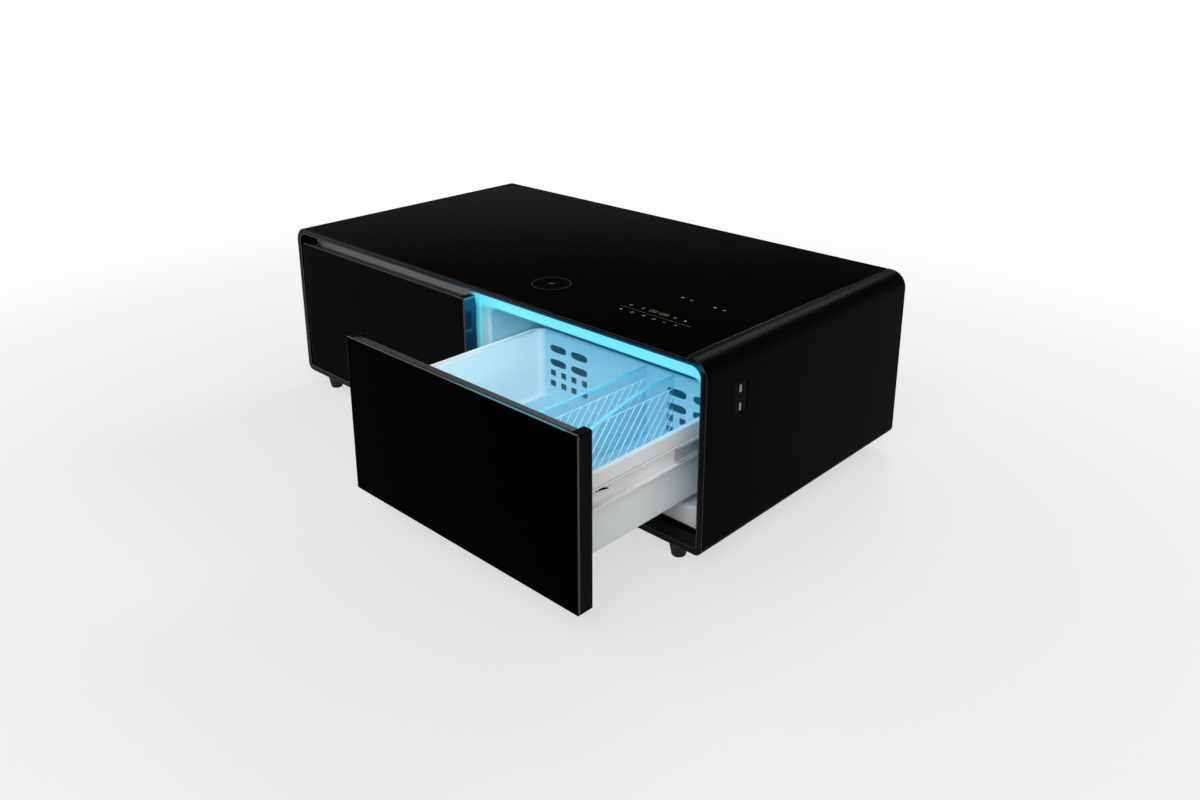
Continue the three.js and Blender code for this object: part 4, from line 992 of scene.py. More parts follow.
def digit(bm, glyph, x, y):
    p = prints
    w, h, g = p["digitWidth"], p["digitHeight"], p["digitGap"]
    sides = {
        "a": [(g, h), (w - g, h)], "b": [(w, h - g), (w, h / 2 + g)], "c": [(w, h / 2 - g), (w, g)],
        "d": [(g, 0), (w - g, 0)], "e": [(0, h / 2 - g), (0, g)], "f": [(0, h - g), (0, h / 2 + g)],
        "g": [(g, h / 2), (w - g, h / 2)],
    }
    for letter in digitBars[glyph]:
        strokeLine(bm, [(x + a + p["digitSlant"] * b, y + b) for a, b in sides[letter]], p["digitStroke"])


def buildPrints():
    p = prints
    x, y = p["ringX"], p["ringY"]
    ring, icons, digits, line = (bmesh.new() for _ in range(4))
    strokeLine(ring, arc(x, y, p["ringRadius"], 0, p["ringEnd"], 47), p["ringWidth"], True)
    place(solid("chargeRing", ring), "printDim")
    for name, iconX, iconY in iconPlaces:
        for points in iconShapes[name]:
            strokeLine(icons, [(iconX + a, iconY + b) for a, b in points], p["stroke"])
    for spot in p["dots"]:
        disc(icons, *spot, p["dot"])
    strokeLine(icons, [(x + a, y + b) for a, b in p["bolt"]], p["ringWidth"])
    place(solid("glassIcons", icons), "printGrey")
    for glyph, digitX in p["digits"]:
        digit(digits, glyph, digitX, p["digitY"])
    for spotY in p["colonY"]:
        disc(digits, p["colonX"], spotY, p["colonDot"], 10)
    place(solid("glassDigits", digits), "amber")
    strokeLine(line, p["line"], p["lineWidth"])
    place(solid("touchLine", line), "amberDim")


buildPrints()
print("stage: prints laid")

# Liners, ducts and fans
opening = {"half": 285.5, "bottom": 101, "top": 360, "bottomCorner": 16, "topCorner": 20}
liner = {
    "front": 45.6, "wall": 2.5, "lip": 6, "back": 530, "backRound": 9, "edges": (0.3, 634.7), "bottom": 59.8,
    "top": 406.7, "corner": 4, "edge": 0.6, "hem": 0.4, "hemInset": 0.3, "flare": 6, "flareOut": 0.5,
}
duct = {
    "front": 492, "thickness": 3, "edge": 0.8, "fit": 0.3, "back": 515, "fanZ": 304, "fanRadius": 46,
    "wall": 2, "slotZ": 142.5, "slotPitch": 90, "slotHalf": 25, "slotHigh": 6.5, "slotRound": 5.5,
    "strut": (-2, 2, 0, 3, 12, 47),
    "hub": [(0.01, -0.6), (10, -0.6), (14, 0.4), (15, 1.4), (15, 3), (3, 3), (3, 20), (0.01, 20)],
    "lugX": 60, "lugHalf": 2, "lug": (493, 525, 101.3, 108.7),
}
blade = {
    "count": 7, "bore": 3.5, "root": 1.5, "rootAngle": 45, "twist": 20, "widen": 0.5, "tip": 0.75,
    "tipCut": 0.18, "camber": 0.07, "sweep": 3.5, "thickness": 1.2, "thinning": 0.4,
}
ductRotor = {"radius": 43.6, "hub": 15, "length": 14, "y": 495.3}


def mouthRing(centre, grown):
    o = opening
    return roundedRing(centre - o["half"] - grown, centre + o["half"] + grown, o["bottom"] - grown, o["top"] + grown,
                       o["bottomCorner"] + grown, o["topCorner"] + grown, 12)


def buildLiner(side, sign):
    # from the back of the tub's outside, over the flange and its rolled mouth, into the tub
    s, centre = liner, sign * bay
    x0, x1 = sorted(sign * edge for edge in s["edges"])
    front0, front1, wall, lip, r = s["front"], s["front"] + s["wall"], s["wall"], s["lip"], s["backRound"]

    def flange(inset):
        corner = s["corner"] - inset
        return roundedRing(x0 + inset, x1 - inset, s["bottom"] + inset, s["top"] - inset, corner, corner, 12)
    rings = [
        standing(mouthRing(centre, wall), s["back"] + wall), standing(mouthRing(centre, wall), front1 + s["flare"]),
        standing(mouthRing(centre, lip + s["flareOut"]), front1), standing(flange(s["hemInset"]), front1),
        standing(flange(0), front1 - s["hem"]), standing(flange(0), front0 + s["edge"]),
        standing(flange(s["edge"]), front0)]
    rings += [standing(mouthRing(centre, lip * across), front0 + lip * along) for across, along in quarter(8)]
    rings += [standing(mouthRing(centre, -r * along), s["back"] - r * across) for across, along in quarter(6)]
    place(fromRings(f"liner_{side}_moulding", rings), "linerLit", f"liner_{side}", smooth=40)


def buildDuct(side, sign):
    d, centre = duct, sign * bay
    start, radius, wall, long = d["front"], d["fanRadius"], d["wall"], d["back"] - d["front"]
    middle = (centre, start, d["fanZ"])
    plate = fromRings("duct", plateRings(
        lambda inset: mouthRing(centre, -d["fit"] - inset), start, start + d["thickness"], cabinetY, d["edge"]))
    carve(plate, fromRings("bore", turned([(radius, -3), (radius, 9)], middle, cabinetY, 64, "y")))
    places = [(centre + step * d["slotPitch"], start - 3 + cabinetY, d["slotZ"]) for step in range(-2, 3)]
    outline = roundedRing(
        -d["slotHalf"], d["slotHalf"], -d["slotHigh"], d["slotHigh"], d["slotRound"], d["slotRound"], 5)
    carve(plate, slotSolids(outline, 9, places))
    profile = [(radius, -1.2), (radius + wall * 0.6, -1.6), (radius + wall + 1.5, 0), (radius + wall, 2),
               (radius + wall, long), (radius, long)]
    ring = fromRings("ring", turned(profile, middle, cabinetY, 64, "y"), True)
    bm = bmesh.new()
    for turn in (0, 120, 240):
        cuboid(bm, *d["strut"], 0)
        bmesh.ops.transform(bm, matrix=moved(*middle, turn, "Y"), verts=list(bm.verts)[-8:])
    skin(bm, turned(d["hub"], middle, cabinetY, 40, "y"))
    for x in (centre - d["lugX"], centre + d["lugX"]):
        cuboid(bm, x - d["lugHalf"], x + d["lugHalf"], *d["lug"])
    # the right duct carries painted light of the strip
    finish = "ductLit" if side == "right" else "ductWhite"
    parts = [plate, ring, solid("hub", bm)]
    place(joined(f"duct_{side}_moulding", parts), finish, f"duct_cover_{side}", smooth=35)


def bladeMesh(radius, hub, length):
    # a twisted blade with a rounded nose, thinning to its tip
    b, rings = blade, []
    for part in (i / 8 for i in range(9)):
        reach = hub - b["root"] + part * (radius - hub + b["root"])
        pitch = math.radians(b["rootAngle"] - b["twist"] * part)
        tip = max(0, part - b["tip"]) / (1 - b["tip"])
        chord = length * (1 + b["widen"] * part) * (1 - b["tipCut"] * tip)
        ring = []
        for turn in (2 * math.pi * k / 14 for k in range(14)):
            along = 0.5 * math.cos(turn)
            off = 0.5 * math.sin(turn) * (b["thickness"] - b["thinning"] * part) / chord
            off += b["camber"] * (1 - 4 * along * along)
            across = (along * math.cos(pitch) - off * math.sin(pitch)) * chord
            rise = (along * math.sin(pitch) + off * math.cos(pitch)) * chord
            ring.append(Vector((reach, across + b["sweep"] * part * part, length / 2 + rise)) * mm)
        rings.append(ring)
    bm = bmesh.new()
    skin(bm, rings)
    return toMesh(bm, "blade")


def buildRotor(name, node, sizes, matrix):
    radius, hub, length, bore = sizes["radius"], sizes["hub"], sizes["length"], blade["bore"]
    ring = grow(name + "Blades", bladeMesh(radius, hub, length), bladeRing, {"Count": blade["count"]},
                "blackPlastic")
    profile = [(bore, 0), (hub - 1, 0), (hub, 1), (hub, length - 3), (hub - 1, length - 1), (hub - 4, length),
               (bore, length)]
    core = fromRings(name + "Hub", turned(profile, (0, 0, 0), 0, 40), True)
    made = joined(name, [ring, core])
    made.data.transform(matrix)
    place(made, "blackPlastic", node, node, 30)


for side, sign in sideSigns:
    buildLiner(side, sign)
    buildDuct(side, sign)
    buildRotor(f"ductRotor_{side}", f"duct_fan_{side}", ductRotor,
               moved(sign * bay, ductRotor["y"], duct["fanZ"], -90))
print("stage: liners and ducts built")

# Cooling circuit and machine compartment
coils = {
    "length": 180, "depth": 22, "bend": 10, "front": 503, "bottom": 109, "height": 118, "tube": 3, "joint": 540.85,
}
machine = {
    "y": 627, "floor": 39.8, "condenserX": 206, "condenserLength": 92, "condenserWidth": 44, "condenserHeight": 128,
    "overhang": 10, "tubeStart": -56, "tubeOut": 14, "over": 30,
}
condenserRotor = {"radius": 51.4, "hub": 20, "length": 18, "x": 146.7, "z": 97.8}
compressor = {
    "x": -340, "radius": 58, "bottom": 53.5, "height": 150, "padX": 0.98, "padY": 0.78,
    "pad": [(8, 0), (8, 4), (6.6, 5), (6.6, 8), (8, 9), (8, 14)], "plate": (1.15, 0.95, -1.6, 2.6),
    "box": (20, 12, 20, 58),
}
tubing = {
    "back": 558, "joint": 541.15, "reach": 100, "liquidX": (14.3, 110.3), "liquidZ": 120.8, "drierX": 18,
    "suctionZ": 215.2, "lowZ": 148, "entryY": 568.7,
    "drier": [(2, 0), (3, 0), (5, 3), (9, 9), (9, 51), (5, 57), (3, 60), (2, 60)],
}


def passHeights(count, bottom, height):
    # the height of each straight pass of a coil
    return [bottom + height * (0.1 + 0.8 * step / (count - 1)) for step in range(count)]


def condenserEnd():
    return machine["y"] + machine["condenserLength"] / 2 + machine["overhang"]


def buildEvaporator(side, sign):
    c = coils
    x, y, reach = sign * bay, c["front"] + c["depth"] / 2, c["length"] / 2 + c["bend"]
    heights = passHeights(3, c["bottom"], c["height"])
    corners = [(x + reach, c["joint"], heights[0])]
    for step, z in enumerate(heights):
        start = -reach if step % 2 else reach
        corners += [(x + start, y, z), (x - start, y, z)]
    corners.append((x - reach, c["joint"], heights[-1]))
    place(pipe(f"evaporatorTube_{side}", corners, c["tube"], 8), "copper")
    finBlock(f"evaporatorFins_{side}", 40, c["length"], c["depth"], c["height"],
             moved(x, y, c["bottom"] + c["height"] / 2), f"evaporator_{side}")


def buildCondenser():
    m, pot = machine, compressor
    y, width, high, top = m["y"], m["condenserWidth"], m["condenserHeight"], pot["bottom"] + pot["height"]
    end, midX, over = condenserEnd(), m["condenserX"] - width / 2, top + m["over"]
    heights = passHeights(4, m["floor"], high)
    corners = [(m["condenserX"] + m["tubeOut"], end, heights[0])]
    for step, z in enumerate(heights):
        near, far = (y + m["tubeStart"], end) if step % 2 else (end, y + m["tubeStart"])
        corners += [(midX, near, z), (midX, far, z)]
    dome = pot["x"] + 0.25 * pot["radius"]
    corners += [(midX, end, over), (dome, end, over), (dome, y, over), (dome, y, top + 0.3)]
    place(pipe("condenserTube", corners, 3, 8), "copper")
    finBlock("condenserFins", 30, m["condenserLength"], width, high,
             moved(midX, y, m["floor"] + high / 2, 90, "Z"), "condenser")


def buildCompressor():
    c, y = compressor, machine["y"]
    x, r, z0 = c["x"], c["radius"], c["bottom"]
    profile = [(0.01, 0), (0.7 * r, 2), (0.86 * r, 7), (0.95 * r, 15), (r, 30), (r, 73), (r + 2.5, 75), (r + 2.5, 81),
               (r, 83), (r, 105), (0.96 * r, 120), (0.86 * r, 134), (0.7 * r, 143), (0.5 * r, 148), (0.45 * r, 150),
               (0.01, 150)]
    pot = fromRings("pot", turned(profile, (x, y, z0), cabinetY, 56))
    bm = bmesh.new()
    for a in (-c["padX"] * r, c["padX"] * r):
        for b in (-c["padY"] * r, c["padY"] * r):
            skin(bm, turned(c["pad"], (x + a, y + b, machine["floor"]), cabinetY, 20))
    halfX, halfY, low, high = c["plate"]
    cuboid(bm, x - halfX * r, x + halfX * r, y - halfY * r, y + halfY * r, z0 + low, z0 + high)
    half, ahead, low, high = c["box"]
    cuboid(bm, x - half, x + half, y - r - ahead, y, z0 + low, z0 + high)
    place(joined("compressorPot", [pot, bevel(solid("base", bm), 1.5)]), "compressorPaint", "compressor")


def buildLines():
    m, s = machine, tubing
    end, stub = condenserEnd(), passHeights(4, m["floor"], m["condenserHeight"])[0]
    start, turnX = (m["condenserX"] + out for out in s["liquidX"])
    back, joint, z = s["back"], s["joint"], s["liquidZ"]
    near, far = s["reach"] - bay, s["reach"] + bay
    parts = [pipe("liquid", [(start, end, stub), (turnX, end, stub), (turnX, back, stub), (turnX, back, z)], 2, 6),
             fromRings("drier", turned(s["drier"], (start + s["drierX"], end, stub), cabinetY, 28, "x")),
             pipe("liquidRun", [(near, joint, z), (near, back, z), (far, back, z), (far, joint, z)], 2, 6)]
    place(joined("liquidPipes", parts), "copper", "liquid_line")
    x, z, low, left, right = compressor["x"], s["suctionZ"], s["lowZ"], -s["reach"] - bay, bay - s["reach"]
    parts = [pipe("suction", [(x, back, z), (x, back, low), (x, s["entryY"], low)], 3, 8),
             pipe("suctionRun", [(left, joint, z), (left, back, z), (right, back, z), (right, joint, z)], 3, 8)]
    place(joined("suctionPipes", parts), "copper", "suction_line")


for side, sign in sideSigns:
    buildEvaporator(side, sign)
buildCondenser()
buildCompressor()
buildRotor("condenserRotor", "condenser_fan", condenserRotor,
           moved(condenserRotor["x"], machine["y"], condenserRotor["z"], -90, "Y"))
buildLines()

# Back panel's hoods and screws, the inlet and the feet
rear = {
    "panel": 695, "first": 98, "rows": 6, "pitch": 15, "columns": (-340, 125), "reach": 85,
    "hood": [(0, -1.5), (0, 9.5), (1.2, 9.1), (3.6, 1.2), (3.6, 0), (2.8, 0), (1.2, 6.6), (0.8, 6.6), (0.8, -1.5)],
    "hoodEnds": ((-3, 0.15), (0, 0.8), (3, 1)), "screw": (3.4, 1.5), "screwX": (-600, -300, 0, 300, 600),
    "screwZ": (394, 56), "sideScrews": [(-630, 225), (630, 225)],
}
inlet = {
    "x": 560, "z": 84, "face": 697.5, "screw": (2.3, 1.0), "screwX": 20, "pins": ((-7, -1.5), (0, 2.5), (7, -1.5)),
    "pinHalf": (1.15, 2.15), "pinY": (681.5, 694.2),
}
footSizes = {
    "x": 573, "places": (("front", 31), ("rear", 669)),
    "profile": [(0.01, 0), (11.5, 0), (13, 0.4), (14, 1.6), (15.5, 9), (19.4, 28), (20, 31), (20, 37.1), (19.4, 37.7),
                (0.01, 37.7)],
}


def screwHead(radius, height):
    # a crossed slot in a domed head that faces back
    profile = [(radius, 0), (radius, height * 0.35), (radius * 0.82, height * 0.8), (radius * 0.5, height),
               (0.01, height)]
    head = fromRings("screw", turned(profile, (0, 0, 0), 0, 20))
    for turn in (0, 90):
        cut = blocks("cut", [(-radius * 0.55, radius * 0.55, -0.35, 0.35, height * 0.55, height * 1.5)], 0)
        cut.data.transform(Matrix.Rotation(math.radians(turn), 4, "Z"))
        carve(head, cut)
    head.data.transform(Matrix.Rotation(-math.pi / 2, 4, "X"))
    return head


def buildRear():
    r, s, y = rear, inlet, rear["panel"] + cabinetY
    ends = [(-r["reach"] + x, scale) for x, scale in r["hoodEnds"]]
    ends += [(r["reach"] - x, scale) for x, scale in reversed(r["hoodEnds"])]
    hood = fromRings("hood", [crossing([(out * scale, z) for out, z in r["hood"]], x, 0) for x, scale in ends])
    points = [(x, y, r["first"] + row * r["pitch"]) for x in r["columns"] for row in range(r["rows"])]
    place(onPoints("louvreHoods", hood, points, "blackSteel"), "blackSteel")
    spots = [(x, z) for x in r["screwX"] for z in r["screwZ"]] + r["sideScrews"]
    points = [(x, y, z) for x, z in spots]
    place(onPoints("rearScrews", screwHead(*r["screw"]), points, "railZinc"), "railZinc")
    points = [(s["x"] + x, s["face"] + cabinetY, s["z"]) for x in (-s["screwX"], s["screwX"])]
    place(onPoints("inletScrews", screwHead(*s["screw"]), points, "railZinc"), "railZinc")
    wide, high = s["pinHalf"]
    pins = [(s["x"] + x - wide, s["x"] + x + wide, *s["pinY"], s["z"] + z - high, s["z"] + z + high)
            for x, z in s["pins"]]
    place(bevel(blocks("inletPins", pins), 0.5), "portSteel")


buildRear()
for side, sign in sideSigns:
    for end, y in footSizes["places"]:
        made = fromRings(f"foot_{end}_{side}_pad", turned(footSizes["profile"], (sign * footSizes["x"], y, 0)))
        place(made, "blackRubber", f"foot_{end}_{side}", smooth=40)
print("stage: machines, back and feet built")

# Slides
slides = {
    "box": 271.2, "middle": 230, "depth": 14, "sheet": 1.2, "lip": 4, "height": 41, "gap": 0.4, "end": 485,
    "railStart": 112, "middleStart": 140, "carrierStart": 62, "carrierEnd": 450, "edge": 0.22, "carrierEdge": 0.5,
    "holes": (160, 300, 470), "holeLength": 8, "holeRadius": 2.2, "holeDepth": 1.9,
}
lever = {
    "y": 80, "rise": 14, "gap": 4, "thickness": 3.5, "edge": 0.5, "pin": 2.0, "pinRoom": 0.4, "pinOut": 1,
    "arm": [(-7.4, 3.2), (-6.9, 1.6), (-6.2, 0.4), (-5, -1.4), (-3.6, -2.6), (-2, -3.5), (0, -3.8), (6, -4),
            (11, -4.8), (16, -5.8), (22, -7.2), (26, -8.2), (27.4, -8), (28, -7), (22, -4.9), (16, -2.8), (12, -1.2),
            (8, 0.2), (5, 1.8), (3, 2.8), (1.6, 3.4), (0, 3.6), (-1.6, 3.4), (-3, 3), (-4.4, 3.2), (-5.6, 3.8),
            (-6.8, 3.9)],
}


def slideSections():
    # upper halves; depths are measured from the drawer box outwards
    s = slides
    deep, high, sheet, lip, gap = s["depth"], s["height"] / 2, s["sheet"], s["lip"], s["gap"]
    carEnd, m0, m1 = deep - 3, sheet + gap + 0.3, deep - sheet - gap
    free = m0 + sheet + gap + 1
    midHigh, railHigh, race = high - lip - gap, high - 2 * lip - 2 * gap, lip - sheet
    carrier = [(0, high), (carEnd, high), (carEnd, high - lip), (carEnd - sheet, high - lip),
               (carEnd - sheet, high - sheet), (sheet, high - sheet)]
    bend = carEnd - sheet - gap
    middle = [(m0, midHigh), (m0 + 1.5, midHigh), (m0 + 2, midHigh + race), (bend - 0.5, midHigh + race),
              (bend, midHigh), (m1, midHigh), (m1, midHigh - lip), (m1 - sheet, midHigh - lip),
              (m1 - sheet, midHigh - sheet), (m0 + sheet, midHigh - sheet)]
    rail = [(deep, railHigh), (m1 - sheet - gap, railHigh), (m1 - sheet - gap - 0.5, railHigh + race),
            (free + 0.5, railHigh + race), (free, railHigh), (free, railHigh - sheet), (deep - sheet, railHigh - sheet)]
    return {name: half + [(u, -v) for u, v in reversed(half)]
            for name, half in (("carrier", carrier), ("middle", middle), ("rail", rail))}


sections = slideSections()


def slideBar(name, section, boxX, hand, y0, y1, shift, edge=slides["edge"]):
    points = [(boxX + hand * u, slides["middle"] + v) for u, v in sections[section]]
    return bevel(fromRings(name, [standing(points, y0, shift), standing(points, y1, shift)]), edge)


def pressHoles(made, boxX, hand, shift):
    s, bm = slides, bmesh.new()
    z, half, r = s["middle"], s["holeLength"] / 2, s["holeRadius"]
    x0, x1 = sorted(boxX + hand * (s["holeDepth"] + depth) for depth in (-1, 2.2))
    for y in s["holes"]:
        skin(bm, barRings(roundedRing(y - half, y + half, z - r, z + r, r * 0.98, r * 0.98, 5), x0, x1, shift))
    carve(made, solid("holes", bm))


def buildLever(side, name, boxX, hand, shift):
    s, z = lever, slides["middle"] + lever["rise"]
    x0, x1 = sorted(boxX + hand * u for u in (s["gap"], s["gap"] + s["thickness"]))
    arm = fromRings(f"lever_{side}_{name}", barRings([(s["y"] + a, z + b) for a, b in s["arm"]], x0, x1, shift))
    bevel(arm, s["edge"], 3, 25)
    room = s["pin"] + s["pinRoom"]
    bore = turned([(room, -1), (room, s["thickness"] + 1)], (x0, s["y"], z), shift, 24, "x")
    carve(arm, fromRings("bore", bore))
    place(arm, "blackGloss", f"slide_lever_{side}_{name}", f"slide_lever_{side}_{name}", 40)


def leverPin(boxX, hand, shift):
    # the lever's pin, which belongs to the carrier
    s, z = lever, slides["middle"] + lever["rise"]
    x0, x1 = sorted(boxX + hand * u for u in (slides["sheet"] / 2, s["gap"] + s["thickness"] + s["pinOut"]))
    long, r = x1 - x0, s["pin"]
    profile = [(0.01, 0), (r - 0.5, 0), (r, 0.5), (r, long - 0.5), (r - 0.5, long), (0.01, long)]
    return fromRings("pin", turned(profile, (x0, s["y"], z), shift, 24, "x"))


def buildSlides(side, sign):
    s = slides
    for name, hand in sideSigns:
        boxX = sign * bay + hand * s["box"]
        rail = slideBar(f"slideRail_{side}_{name}", "rail", boxX, hand, s["railStart"], s["end"], cabinetY)
        place(rail, "railZinc", f"slide_rail_{side}_{name}")
        shift = runnerY[side]
        middle = slideBar(f"slideMiddle_{side}_{name}", "middle", boxX, hand, s["middleStart"], s["end"], shift)
        pressHoles(middle, boxX, hand, shift)
        place(middle, "railZinc", f"slide_middle_{side}_{name}", f"runners_{side}")
        shift = drawerY[side]
        y0, y1 = s["carrierStart"], s["carrierEnd"]
        carrier = slideBar("carrier", "carrier", boxX, hand, y0, y1, shift, s["carrierEdge"])
        made = joined(f"slideCarrier_{side}_{name}", [carrier, leverPin(boxX, hand, shift)])
        place(made, "slideWhite", f"slide_carrier_{side}_{name}", f"drawer_{side}")
        buildLever(side, name, boxX, hand, shift)


for side, sign in sideSigns:
    buildSlides(side, sign)
print("stage: slides built")

# Drawers
pull = {"start": 6.0, "width": 18, "slope": 2.5, "sheet": 1.5, "slot": 6, "trough": 9, "gap": 0.3, "overlap": 4}
seal = {
    "outer": (310, 68, 372, 6), "inner": (288, 90, 354, 4), "start": 0.3, "lean": 0.92, "innerFold": 1.2,
    "leastCorner": 1,
    "folds": [(0.8, 0), (0, 0.8), (0, 3.6), (1.7, 4.6), (1.7, 5.2), (0.2, 6.2), (0, 7.4), (0, 10.2), (1.6, 11.9)],
}


def frontRing(centre, inset):
    f = front
    return roundedRing(centre - f["half"] + inset, centre + f["half"] - inset, f["bottom"] + inset, f["top"] - inset,
                       max(f["paneCorner"] - inset, 0.2), max(f["corner"] - inset, 0.3), 8)


def capRings(centre, sign, shift):
    # an end of the front's shell, rounded on its outer side
    f = front
    x0, x1 = sorted((centre + sign * (f["half"] - f["cap"]), centre + sign * f["half"]))
    radii = [f["paneCorner"], f["corner"], f["innerCorner"], f["innerCorner"]]
    if sign < 0:
        radii = radii[::-1]

    def outline(inset):
        return corneredRing(x0 + inset, x1 - inset, f["bottom"] + inset, f["top"] - inset,
                            [max(r - inset, 0.05) for r in radii], 6)
    return plateRings(outline, f["glass"] + 0.3, f["thickness"], shift, 1.0, 4)


def buildFront(side, centre, shift):
    f, p, body = front, pull, f"drawer_{side}"
    pane = fromRings(f"pane_{side}", plateRings(lambda inset: frontRing(centre, inset), 0, f["glass"], shift, 0.7, 4))
    place(pane, "paneLeft" if side == "left" else "paneRight", f"front_glass_{side}", body)

    # black shell: a profile between two full-height end caps
    y0, y1, bottom, top, gap = f["glass"] + 0.3, f["thickness"], f["bottom"], f["top"], p["gap"]
    start, end, under, trough = p["start"], p["start"] + p["width"], top - p["sheet"], top - p["trough"]
    fall, lip = p["slope"] * (p["width"] - p["sheet"]) / p["width"], end - p["sheet"] - gap
    profile = [(y0, bottom + 0.6), (y0 + 0.6, bottom), (y1 - 1.2, bottom), (y1, bottom + 1.2), (y1, trough - 0.8),
               (y1 - 0.8, trough), (lip, trough), (lip, under - fall - gap), (start, under - gap),
               (start, top - p["slot"]), (y0, top - p["slot"])]
    reach = f["half"] - f["cap"]
    long = reach + p["overlap"]
    parts = [fromRings("beam", barRings(profile, centre - long, centre + long, shift))]
    parts += [fromRings("cap", capRings(centre, sign, shift)) for sign in (-1, 1)]
    # the left front's end caps carry a painted reflection of the open drawer's light
    finish = "blackCap" if side == "left" else "blackPlastic"
    place(joined(f"frontShell_{side}", parts), finish, f"front_shell_{side}", body, 35)

    inner, foot, low = end - p["sheet"], trough + gap, top - p["slope"]
    strip = [(start, top), (start + 0.4, top), (end - 0.8, low), (end, low - 0.7), (end, foot), (inner, foot),
             (inner, under - fall), (start, under)]
    made = fromRings(f"pull_{side}", barRings(strip, centre - reach + gap, centre + reach - gap, shift))
    place(bevel(made, 0.35, 2, 20), "bronzeMetal", f"pull_strip_{side}", body, 40)

    # seal: a soft ring with two folds that leans inwards, so that the shell hides it from in front
    def sealRing(size, grown):
        half, low, high, corner = size
        corner = max(corner + grown, seal["leastCorner"])
        return roundedRing(centre - half - grown, centre + half + grown, low - grown, high + grown, corner, corner, 8)
    back, folds = f["thickness"] + seal["start"], seal["folds"]
    rings = [standing(sealRing(seal["outer"], -inset - depth * seal["lean"]), back + depth, shift)
             for inset, depth in folds]
    rings += [standing(sealRing(seal["inner"], min(inset, seal["innerFold"])), back + depth, shift)
              for inset, depth in reversed(folds)]
    # the left seal carries painted light of the strip at its end beside the open drawer
    finish = "sealLit" if side == "left" else "seal"
    place(fromRings(f"gasket_{side}", rings, True), finish, f"seal_{side}", body, 50)


dividers = {
    "places": [41, 114], "thickness": 2.5, "drop": 2.5, "inset": 3.3, "lip": 9, "guide": 2.5, "guideDepth": 6,
    "guideDrop": 134, "slopeStart": 400, "slopeFall": 97, "slopeBend": 1.42, "plain": 27, "ribs": 27,
    "ribFirst": -45.6, "ribPitch": 25.4, "ribWidth": 1.7, "ribRise": 1.15, "ribIn": 0.2, "ribOut": 0.7,
    "ribRun": 110, "lineHalf": 0.7, "lineStart": 250,
}
# the right drawer's dividers take the cyan, glowing finishes: painted light of the strip
dividerFinishes = {
    "left": ("clearPlain", "clearPlainLip", "clearPlainRib"), "right": ("clearPlate", "clearLip", "clearRib"),
}


def buildDivider(side, number, x, shift, slopeFall):
    d, b, body = dividers, boxSizes, f"drawer_{side}"
    plateFinish, lipFinish, ribFinish = dividerFinishes[side]
    y0, y1 = b["front"] + d["inset"], b["back"] - d["inset"]
    foot, top = b["bottom"] + d["inset"], b["top"] - d["drop"]
    half, lip, t, bend = d["thickness"] / 2, d["lip"] / 2, d["thickness"], d["slopeStart"]

    def height(y):
        return top - slopeFall * max(0, (bend - y) / (bend - y0)) ** d["slopeBend"]
    stops = [y1] + [bend + (y0 - bend) * i / 20 for i in range(21)]
    plate = [(y0, foot), (y1, foot)] + [(y, height(y) - t * 0.7) for y in stops]
    made = fromRings(f"dividerPlate_{side}_{number}", barRings(plate, x - half, x + half, shift))
    place(bevel(made, 0.4), plateFinish, f"divider_{side}_{number}", body, 25)
    section = [(-lip, -0.8), (-lip + 0.8, 0), (lip - 0.8, 0), (lip, -0.8), (lip, -t + 0.6), (lip - 0.5, -t),
               (-lip + 0.5, -t), (-lip, -t + 0.6)]
    rings = [[Vector((x + a, y + shift, height(y) + c)) * mm for a, c in section] for y in stops]
    place(fromRings(f"dividerLip_{side}_{number}", rings), lipFinish, None, body, 25)

    # slanted ribs on the right, between the floor and a line under the plain band
    start, w, face = top - d["plain"], d["ribWidth"] / 2, (x + half - d["ribIn"], x + half + d["ribOut"])
    bm = bmesh.new()
    for step in range(d["ribs"]):
        meet = d["ribFirst"] + step * d["ribPitch"]
        rib = [(meet - run, start - run * d["ribRise"]) for run in range(0, d["ribRun"] + 2, 2)]
        rib = [(y, z) for y, z in rib if y0 + 2 < y < y1 - 2 and foot + 1 < z < height(y) - t - 3]
        if len(rib) > 3:
            (ya, za), (yb, zb) = rib[0], rib[-1]
            skin(bm, barRings([(yb - w, zb), (yb + w, zb), (ya + w, za), (ya - w, za)], *face, shift))
    # on the right drawer the ribs and the line glow: painted highlights
    place(bevel(solid(f"dividerRibs_{side}_{number}", bm), 0.25), ribFinish, None, body, 25)
    reach = d["lineStart"] if slopeFall else y0 + 2
    line = blocks(f"dividerLine_{side}_{number}",
                  [(*face, reach, y1 - 2, start - d["lineHalf"], start + d["lineHalf"])], shift)
    place(bevel(line, 0.25), ribFinish, None, body, 25)


vents = {
    "columns": [-218, -153, 122, 189], "rows": [39.2, 72.6], "splitRows": [98.2, 124], "size": (50, 17.5, 3.4),
    "splitSize": (17, 15, 5.5), "splitPitch": 33, "depth": 8,
}


def lensRing(width, height, bulge, count=32):
    # a slot that is highest in its middle, with round ends
    ring = []
    for turn in (2 * math.pi * i / count for i in range(count)):
        a, b = (math.copysign(abs(v) ** (2 / bulge), v) for v in (math.cos(turn), math.sin(turn)))
        ring.append((a * width / 2, b * height / 2))
    return ring


